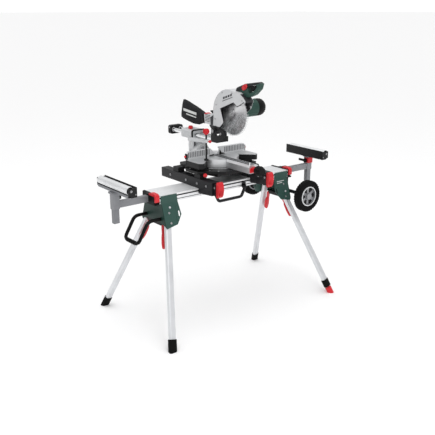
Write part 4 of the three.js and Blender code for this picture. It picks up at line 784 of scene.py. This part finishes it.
# ------------------------------------------------------------------ saw details
def table_details():
    bm = bmesh.new()
    rings = []
    for i in range(49):
        a = math.radians(212 + 116 * i / 48)
        rings.append([bm.verts.new(P(r * math.cos(a), TABLE_Y + r * math.sin(a), z))
                      for r, z in ((142.1, 868.3), (142.9, 868.3), (142.9, 871.4), (142.1, 871.4))])
    skin(bm, rings)
    piece("mitre_scale", bm, M["beam"], "saw")

    bm = bmesh.new()
    for i in range(-6, 7):
        a = math.radians(270 + i * 7.5)
        c = P(143.0 * math.cos(a), TABLE_Y + 143.0 * math.sin(a), 869.8)
        add_lathe(bm, [(0.9, 0), (0.9, 0.5), (0, 0.6)], c, (math.cos(a), math.sin(a), 0), 8)
    piece("scale_marks", bm, M["mark_dark"], "saw")

    # kerf insert: two dark strips on the table, held by screws
    bm = bmesh.new()
    for sx in (-1, 1):
        add_prism(bm, rounded(sx * KERF_X - 4.8, sx * KERF_X + 4.8, -288, 60, 3, 3),
                  TABLE_Z + 0.05, TABLE_Z + 0.9, "z")
    piece("kerf_strips", bm, M["mark_dark"], "turntable", bevel=0.2)
    bm = bmesh.new()
    for y in (-270, -180, -60, 40):
        for sx in (-1, 1):
            add_lathe(bm, [(2.6, 0), (2.6, 0.5), (1.2, 0.6), (0, 0.3)], P(sx * KERF_X, y, TABLE_Z + 0.3),
                      (0, 0, 1), 12)
    piece("kerf_screws", bm, M["bolt"], "turntable")

    # red cheek at the end of the table arm, and the silver pin on top of it
    single("arm_end_cheek", M["red"], "turntable", add_prism,
           [(-30, 876), (30, 876), (32, 898), (20, 905), (-20, 905), (-32, 898)], -306, -302.2, "y",
           bevel=1.0)
    single("detent_pin", M["chrome"], "turntable", add_lathe,
           [(5, 0), (5, 3), (3.6, 4), (3.6, 11), (5, 12), (5, 15), (0, 16)], P(-25, -294, TABLE_Z),
           (0, 0, 1), 16)
    # grip ribs on the mitre knob
    bm = bmesh.new()
    for a in angles(12):
        add_bar(bm, [(r * math.cos(a), y, KNOB_Z + r * math.sin(a)) for r, y in
                     ((23.6, -324), (25.8, -334), (28.2, -346), (25.5, -358), (23.2, -369))], 1.9, 6)
    piece("mitre_knob_ribs", bm, M["black"], "mitre_knob")
    single("mitre_knob_band", M["red"], "mitre_knob", add_lathe,
           [(17.6, -20), (18.2, -17), (18.2, -5), (17.4, -1)], P(0, -302.4, KNOB_Z), (0, 1, 0), 24)

    # lock knobs of the wings, each with a band
    for side, sx in (("left", -1), ("right", 1)):
        d = Vector((sx * 0.45, -0.85, 0.12))
        c = P(sx * 186, -92, 849)
        single(f"wing_lock_{side}", M["red" if sx < 0 else "black"], "saw", add_lathe,
               [(6, -14), (6, 10), (10, 12), (11.5, 18), (11.5, 25), (9, 29), (0, 30)], c, d, 20)
        single(f"wing_lock_band_{side}", M["black"], "saw", add_lathe,
               [(11.4, 12), (13.4, 14), (13.4, 20), (11.4, 22)], c, d, 20)
    bm = bmesh.new()
    for sx in (-1, 1):
        for x, y in ((196, -40), (150, -92), (205, 20), (120, -136)):
            add_bolt(bm, P(sx * x, y, 868.0), (0, 0, 1), 4.2, 3.0)
    piece("base_screws", bm, M["bolt"], "saw")
    bm = bmesh.new()
    for i in range(-6, 7):
        add_prism(bm, [(i * 12 - 2, 846), (i * 12 + 2, 846), (i * 12 + 1.5, 866), (i * 12 - 1.5, 866)],
                  -171.6, -169.8, "y")
    piece("base_ribs", bm, M["casting"], "saw")


def fence_details():
    for side, sx in (("left", -1), ("right", 1)):
        bm = bmesh.new()
        for k in range(5, 17):
            x = FENCE_RIB * k + 3.1
            add_prism(bm, [(sx * x - 2.6, 929), (sx * x + 2.6, 929), (sx * x + 2.2, 960),
                           (sx * x - 2.2, 960)],
                      28.9, 30.4, "y")
        piece(f"fence_ribs_{side}", bm, M["fence"], f"fence_{side}")
        single(f"fence_end_{side}", M["black"], f"fence_{side}", add_prism,
               rounded(sx * 217 - 1.5, sx * 217 + 4.0, 919, 952, 1.5, 2), 30, 52, "y", bevel=0.8)
        single(f"fence_knob_{side}", M["red"], f"fence_{side}", add_lathe,
               [(5.5, 0), (6.5, 1), (6.5, 6), (5, 8), (0, 8.4)], P(sx * 221, 41, 936), (sx, 0, 0), 18)
    single("fence_shoe_right", M["black"], "fence_right", add_prism,
           [(17, 920.2), (58, 920.2), (52, 926), (32, 930), (24, 946), (19, 946)], 26.8, 30.2, "y",
           bevel=0.8)
    single("fence_shoe_left", M["black"], "fence_left", add_prism,
           [(-17, 920.2), (-60, 920.2), (-56, 925), (-26, 927)], 27.4, 30.2, "y", bevel=0.6)


def bevel_details():
    # dark seal round the front of the rail carrier
    bm = bmesh.new()
    outer = rounded(-51, 51, 987, 1047, 13, 5)
    inner = rounded(-44, 44, 994, 1040, 8, 5)
    loops = [[bm.verts.new(P(u, y, v)) for u, v in pts]
             for pts, y in ((outer, 207.5), (outer, 218), (inner, 218), (inner, 207.5))]
    skin(bm, loops + loops[:1], capped=False)
    piece("carrier_seal", bm, M["black"], "bevel_arm", bevel=0.8)
    bm = bmesh.new()
    for k in range(5):
        y = 232 + k * 17
        add_prism(bm, [(y, 1000), (y + 5, 1000), (y + 5, 1034), (y, 1034)], -49.2, -47.4, "x")
    piece("carrier_ribs", bm, M["white"], "bevel_arm")
    # dark sheets of painted shade where the column's slots are
    bm = bmesh.new()
    add_prism(bm, rounded(222, 233, 934, 974, 3, 3), -47.4, -45.9, "x")
    add_prism(bm, rounded(-40, -30, 936, 974, 3, 3), 203.0, 204.2, "y")
    piece("column_slot_shade", bm, M["mark_dark"], "bevel_arm")
    # bevel scale plate and bolt on the hub
    bm = bmesh.new()
    rings = []
    for i in range(31):
        a = math.radians(28 + 124 * i / 30)
        rings.append([bm.verts.new(P(r * math.cos(a), y, TABLE_Z + r * math.sin(a)))
                      for r, y in ((38, 166.6), (47, 166.6), (47, 168.1), (38, 168.1))])
    skin(bm, rings)
    piece("bevel_scale", bm, M["mark_light"], "turntable")
    single("bevel_bolt", M["bolt"], "turntable", add_bolt,
           P(0, 167.9, TABLE_Z + 20), (0, -1, 0), 9, 5)
    # bevel lock lever behind the column
    bm = bmesh.new()
    add_lathe(bm, [(13, 0), (13, 12), (10, 16), (0, 17)], P(0, 248.6, TABLE_Z), (0, 1, 0), 24)
    add_bar(bm, [(0, 258, TABLE_Z), (22, 262, 905), (52, 268, 893), (84, 270, 890)], 6.0, 12)
    piece("bevel_lock_lever", bm, M["black"], "bevel_arm")
    single("bevel_lock_grip", M["red"], "bevel_arm", add_lathe,
           [(7, 0), (9.5, 6), (10.5, 22), (8, 34), (0, 36)], P(80, 270, 890), (0.97, 0, -0.1), 18)
    # rail lock: finger ribs
    bm = bmesh.new()
    for a in angles(8):
        add_bar(bm, [(-22 + r * math.cos(a), CARRIER_Y + r * math.sin(a), z)
                     for r, z in ((13.2, 1048), (11.2, 1063))], 1.6, 6)
    piece("rail_lock_ribs", bm, M["red"], "rail_lock_knob")


def carriage_details():
    bm = bmesh.new()
    for sx in (-1, 1):
        add_lathe(bm, [(13.6, 0), (13.6, 1.6), (11, 2.2), (5, 2.2), (4, 1.4), (0, 1.4)],
                  P(sx * RAIL_X, 469.9, RAIL_Z), (0, 1, 0), 24)
        add_lathe(bm, [(14.4, 0), (14.4, 6), (12.4, 8)], P(sx * RAIL_X, 442, RAIL_Z), (0, -1, 0), 24)
    piece("rail_ends", bm, M["bolt"], "carriage")
    bm = bmesh.new()
    for sx in (-1, 1):
        add_bolt(bm, P(sx * 48.0, 12, 1068), (sx, 0, 0), 8.5, 4.5)
        add_bolt(bm, P(sx * 47.1, 455, 1030), (sx, 0, 0), 4.0, 2.6)
    add_bolt(bm, P(-45.1, -60, 1062), (-1, 0, 0), 6.0, 4.0)
    piece("pivot_bolts", bm, M["bolt"], "carriage")
    single("rail_cap_band", M["black"], "carriage", add_prism,
           rounded(-47.4, 47.4, 990.5, 1041.5, 12, 4), 452, 460, "y", bevel=0.8)


def head_details():
    # dark edging of the guard's opening
    bm = bmesh.new()
    path = [(-251, 1262), (-212, 1240), (-190, 1231), (-160, 1250), (-44, 1205), (-74, 1130), (-36, 1092)]
    add_bar(bm, [(-32.5, y, z) for y, z in path], 2.6, 8)
    piece("guard_edging", bm, M["black"], "head")
    # a plain mark on the guard: four slanted dark bars and a line under them
    bm = bmesh.new()
    for k in range(4):
        y = -66 - k * 21
        z = 1259 + k * 7.2
        add_prism(bm, [(y, z), (y - 15, z + 5), (y - 18, z + 18), (y - 3, z + 13)], -34.7, -33.8, "x")
    add_prism(bm, [(-62, 1250), (-150, 1281), (-151, 1277.5), (-63, 1246.5)], -34.7, -33.8, "x")
    piece("guard_mark", bm, M["mark_dark"], "head", bevel=0.2)
    # rim flange and bolts on the guard
    bm = bmesh.new()
    arc = [math.radians(-20 + 128 * i / 26) for i in range(27)]
    add_bar(bm, [(-33.6, BLADE_Y + 130.5 * math.cos(a), BLADE_Z + 130.5 * math.sin(a)) for a in arc],
            1.8, 8)
    piece("guard_rim", bm, M["white"], "head")
    bm = bmesh.new()
    for y, z in ((-6, 1222), (-60, 1296), (-146, 1300), (-232, 1268), (4, 1140)):
        add_bolt(bm, P(-34.0, y, z), (-1, 0, 0), 3.6, 2.6)
    for y, z in ((-150, 1190), (-60, 1190), (-103, 1240), (-103, 1160)):
        add_bolt(bm, P(59.6, y, z), (1, 0, 0), 0.8, 0.4)
    piece("guard_screws", bm, M["bolt"], "head")
    # chute: collar ring and lever
    bm = bmesh.new()
    skin(bm, [[bm.verts.new(P(u, y0 + (v - 1125) * 0.12, v))
               for u, v in rounded(-24 - grow, 24 + grow, 1100 - grow, 1151 + grow, 9, 4)]
              for grow, y0 in ((2.5, 120), (3.5, 124), (3.5, 140), (2.0, 143))])
    piece("chute_collar", bm, M["black"], "head", bevel=0.8)
    single("chute_lever", M["black"], "head", add_prism,
           [(46, 1162), (58, 1174), (80, 1178), (84, 1172), (66, 1164), (60, 1158)], -9, 9, "x", bevel=1.5)
    # ridged grey insert and red latch beside the chute
    bm = bmesh.new()
    for k in range(5):
        z = 1112 + k * 9
        add_prism(bm, [(62, z), (112, z + 2), (112, z + 5), (62, z + 3)], -25.2, -23.6, "x")
    piece("chute_ribs", bm, M["mark_dark"], "head")
    single("chute_latch", M["red"], "head", add_prism,
           [(98, 1146), (120, 1148), (120, 1160), (100, 1158)], -22, 10, "x", bevel=1.0)
    single("arm_cover", M["mark_dark"], "head", add_prism,
           [(30, 1100), (52, 1098), (56, 1142), (26, 1160)], -30.6, -29.2, "x", bevel=0.5)
    # motor: dark end bell with vents, a flange and cooling ribs
    single("motor_bell", M["black"], "head", add_lathe,
           [(49.3, 168), (50.2, 170), (50.2, 197), (48.2, 203), (40.5, 222), (34, 229), (25.6, 232.8),
            (0, 233)], P(0, MOTOR_Y, MOTOR_Z), (1, 0, 0), 40)
    bm = bmesh.new()
    for a in angles(20):
        add_bar(bm, [(x, MOTOR_Y + r * math.cos(a), MOTOR_Z + r * math.sin(a))
                     for r, x in ((48.6, 206), (44.6, 214), (40.8, 222))], 1.7, 6)
    piece("motor_vents", bm, M["black"], "head")
    single("motor_flange", M["green_plastic"], "head", add_lathe,
           [(49.1, 60.3), (50.6, 62), (50.6, 70), (49.1, 72)], P(0, MOTOR_Y, MOTOR_Z), (1, 0, 0), 40)
    bm = bmesh.new()
    for a in angles(16, 0.1):
        y, z = MOTOR_Y + 49.2 * math.cos(a), MOTOR_Z + 49.2 * math.sin(a)
        add_bar(bm, [(x, y, z) for x in (76, 100, 140, 167)], 1.3, 6)
    piece("motor_ribs", bm, M["green_plastic"], "head")
    # handle: grip ribs, trigger blade and lock slide
    bm = bmesh.new()
    for i in range(7):
        y = -268 - i * 9
        z = 1264 - 0.333 * y - 0.4
        add_prism(bm, rounded(y - 2.2, y + 2.2, z - 2.5, z + 0.9, 1.0, 2), -7, 17, "x")
    piece("handle_ribs", bm, M["foot"], "head")
    single("trigger_blade", M["black"], "trigger", add_prism,
           [(-264, 1345), (-300, 1351), (-314, 1350), (-300, 1335), (-278, 1319), (-264, 1320)], -2, 12,
           "x", bevel=1.5)
    single("lock_slide", M["red"], "lock_button", add_prism,
           [(-204, 1337), (-220, 1353), (-246, 1358), (-252, 1345), (-240, 1330), (-214, 1322)], -14.4,
           -13.6, "x", bevel=0.3)
    # arbor washer, and the curved slots of the blade
    single("arbor_washer", M["bolt"], "blade", add_lathe,
           [(15.5, 0), (15.5, 1.2), (13, 2.0), (10.6, 2.0), (10.2, 1.0)], P(-5.3, BLADE_Y, BLADE_Z),
           (-1, 0, 0), 28)
    bm = bmesh.new()
    for i in range(6):
        a = math.radians(60 * i + 12)
        pts = []
        for k in range(7):
            aa = a + math.radians(k * 3.2)
            r = 62 + k * 6.5
            pts.append((-1.35, BLADE_Y + r * math.cos(aa), BLADE_Z + r * math.sin(aa)))
        add_bar(bm, pts, 0.55, 5)
    piece("blade_slots", bm, M["mark_dark"], "blade")


def clamp_details():
    bm = bmesh.new()
    for a in angles(8):
        add_bar(bm, [(CLAMP_X + r * math.cos(a), CLAMP_Y + r * math.sin(a), z)
                     for r, z in ((15, 1076), (17, 1086), (13.6, 1098))], 2.4, 8)
    piece("clamp_knob_ribs", bm, M["red"], "clamp_screw")
    single("clamp_stop_knob", M["red"], "clamp", add_lathe,
           [(4, -4), (4, 4), (7.5, 5), (8.2, 9), (8.2, 15), (6, 18), (0, 18.5)], P(-127, -50, 1029),
           (0.88, -0.36, -0.3), 18)
    single("clamp_socket", M["black"], "clamp", add_lathe,
           [(13, 0), (13, 5), (9, 9), (8, 10)], P(-174, 62, TABLE_Z + 0.1), (0, 0, 1), 20)


# ------------------------------------------------------------------ dust bag
def dust_bag():
    """Lofted fabric shell: narrow neck with pleats, full body that sags, flat tail seam."""
    bm = bmesh.new()
    stations = 30
    around = 40
    rings = []
    # top and bottom edge of the bag in (y, z), and its half width, from the neck to the tail
    top = [(138, 1149), (165, 1160), (205, 1174), (260, 1190), (310, 1204), (345, 1212), (362, 1210)]
    low = [(133, 1105), (160, 1094), (198, 1080), (250, 1077), (310, 1086), (360, 1096), (388, 1104)]
    half = [21, 22, 23.5, 24.5, 24, 20, 6]

    def along(table, t):
        s = t * (len(table) - 1)
        i = min(int(s), len(table) - 2)
        f = s - i
        f = f * f * (3 - 2 * f) * 0.35 + f * 0.65
        a, b = table[i], table[i + 1]
        if isinstance(a, tuple):
            return tuple(p + (q - p) * f for p, q in zip(a, b))
        return a + (b - a) * f

    for s in range(stations + 1):
        t = s / stations
        ty, tz = along(top, t)
        ly, lz = along(low, t)
        w = along(half, t)
        cy, cz = (ty + ly) / 2, (tz + lz) / 2
        hy, hz = (ty - ly) / 2, (tz - lz) / 2
        ring = []
        for a in angles(around):
            u, v = squared(a, 0.62)
            pleat = 0.4 * math.sin(9 * a) * max(0.0, 1 - t * 4)
            nz = noise.noise(Vector((t * 7.0, u * 1.6, v * 2.4 + 3.1)))
            panel = 10.0 if u > 0 else 9.0
            crease = abs(noise.noise(Vector((t * 11.0 + v * 3.2, v * 2.0 - t * 4.0, panel))))
            slack = 5.5 * crease * math.sin(math.pi * min(1.0, 0.12 + t * 0.95)) * (1 - abs(v) ** 3)
            x = u * (w + pleat - abs(nz) * 1.6 - slack)
            sag = -2.4 * math.sin(math.pi * t) * (1 - abs(v))
            ring.append(bm.verts.new(P(x, cy + hy * v, cz + hz * v + sag * 0.6 + nz * 0.8)))
        rings.append(ring)
    skin(bm, rings)
    bag = piece("dust_bag_fabric", bm, M["fabric"], "head", sharp=80, levels=1)
    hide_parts("dust_bag")

    # sewn tape along the top and bottom edges and round the tail
    bm = bmesh.new()
    pts = [(0, y, z + 1.0) for y, z in top[1:]] + [(0, 377, 1158)]
    pts += [(0, y, z - 1.0) for y, z in reversed(low[1:])]
    smooth = []
    for i in range(len(pts) - 1):
        for f in (0, 0.5):
            smooth.append(tuple(p + (q - p) * f for p, q in zip(pts[i], pts[i + 1])))
    smooth.append(pts[-1])
    add_bar(bm, smooth, 1.6, 8)
    piece("bag_seam", bm, M["piping"], "head")
    # two plain light bands on the left panel
    bm = bmesh.new()
    for z0, w, y0, y1 in ((1136, 16, 196, 330), (1119, 7, 200, 300)):
        prev = None
        for i in range(15):
            f = i / 14
            y = y0 + (y1 - y0) * f
            zc = z0 + (y - 200) * 0.10
            x = -26.0 - 0.8 * math.sin(math.pi * f)
            col = [bm.verts.new(P(x, y, zc)), bm.verts.new(P(x, y, zc + w))]
            if prev:
                bm.faces.new((prev[0], col[0], col[1], prev[1]))
            prev = col
    piece("bag_band", bm, M["mark_light"], "head")


stand_details()
wheel_details()
lever_paddles()
roller_details()
mount_details()
table_details()
fence_details()
bevel_details()
carriage_details()
head_details()
clamp_details()
dust_bag()


# ------------------------------------------------------------------ stage, light, camera
def stage():
    bpy.ops.mesh.primitive_plane_add(size=600, location=(0, 0, -0.0005))
    floor = bpy.context.object
    floor.name = "floor"
    g = Graph("floor_white")
    g.set(color=(0.97, 0.97, 0.97), rough=0.9, metal=0.0)
    floor.data.materials.append(g.mat)

    world = bpy.data.worlds.new("studio")
    bpy.context.scene.world = world
    world.use_nodes = True
    t = world.node_tree
    coords = t.nodes.new("ShaderNodeTexCoord")
    parts = t.nodes.new("ShaderNodeSeparateXYZ")
    ramp = t.nodes.new("ShaderNodeValToRGB")
    ramp.color_ramp.elements[0].position = 0.03
    ramp.color_ramp.elements[0].color = (1, 1, 1, 1)
    ramp.color_ramp.elements[1].position = 0.85
    ramp.color_ramp.elements[1].color = (1.0, 1.0, 1.0, 1)
    for place, level in ((0.08, 0.36), (0.4, 0.42)):
        step = ramp.color_ramp.elements.new(place)
        step.color = (level, level, level * 1.01, 1)
    t.links.new(coords.outputs["Generated"], parts.inputs[0])
    t.links.new(parts.outputs["Z"], ramp.inputs["Fac"])
    t.links.new(ramp.outputs["Color"], t.nodes["Background"].inputs["Color"])
    t.nodes["Background"].inputs["Strength"].default_value = 1.3

    def area(name, location, target, size, power):
        data = bpy.data.lights.new(name, "AREA")
        data.shape = "DISK"
        data.size = size
        data.energy = power
        obj = bpy.data.objects.new(name, data)
        bpy.context.scene.collection.objects.link(obj)
        obj.location = location
        obj.rotation_euler = (Vector(target) - Vector(location)).to_track_quat("-Z", "Y").to_euler()

    area("key", (-1.2, -4.0, 3.4), (0, 0, 0.7), 2.0, 38)
    area("top", (0.2, 0.4, 4.6), (0, 0, 0.8), 3.0, 22)

    cam_data = bpy.data.cameras.new("camera")
    cam_data.sensor_width = 36
    cam_data.lens = 53.72
    cam_data.clip_end = 1000
    cam = bpy.data.objects.new("camera", cam_data)
    bpy.context.scene.collection.objects.link(cam)
    eye = P(-2343.8, -2935.0, 1748.4)
    aim = P(-20, 0, 540)
    cam.location = eye
    cam.rotation_euler = (aim - eye).to_track_quat("-Z", "Y").to_euler()
    bpy.context.scene.camera = cam
    bpy.context.scene.view_settings.view_transform = "Standard"


stage()
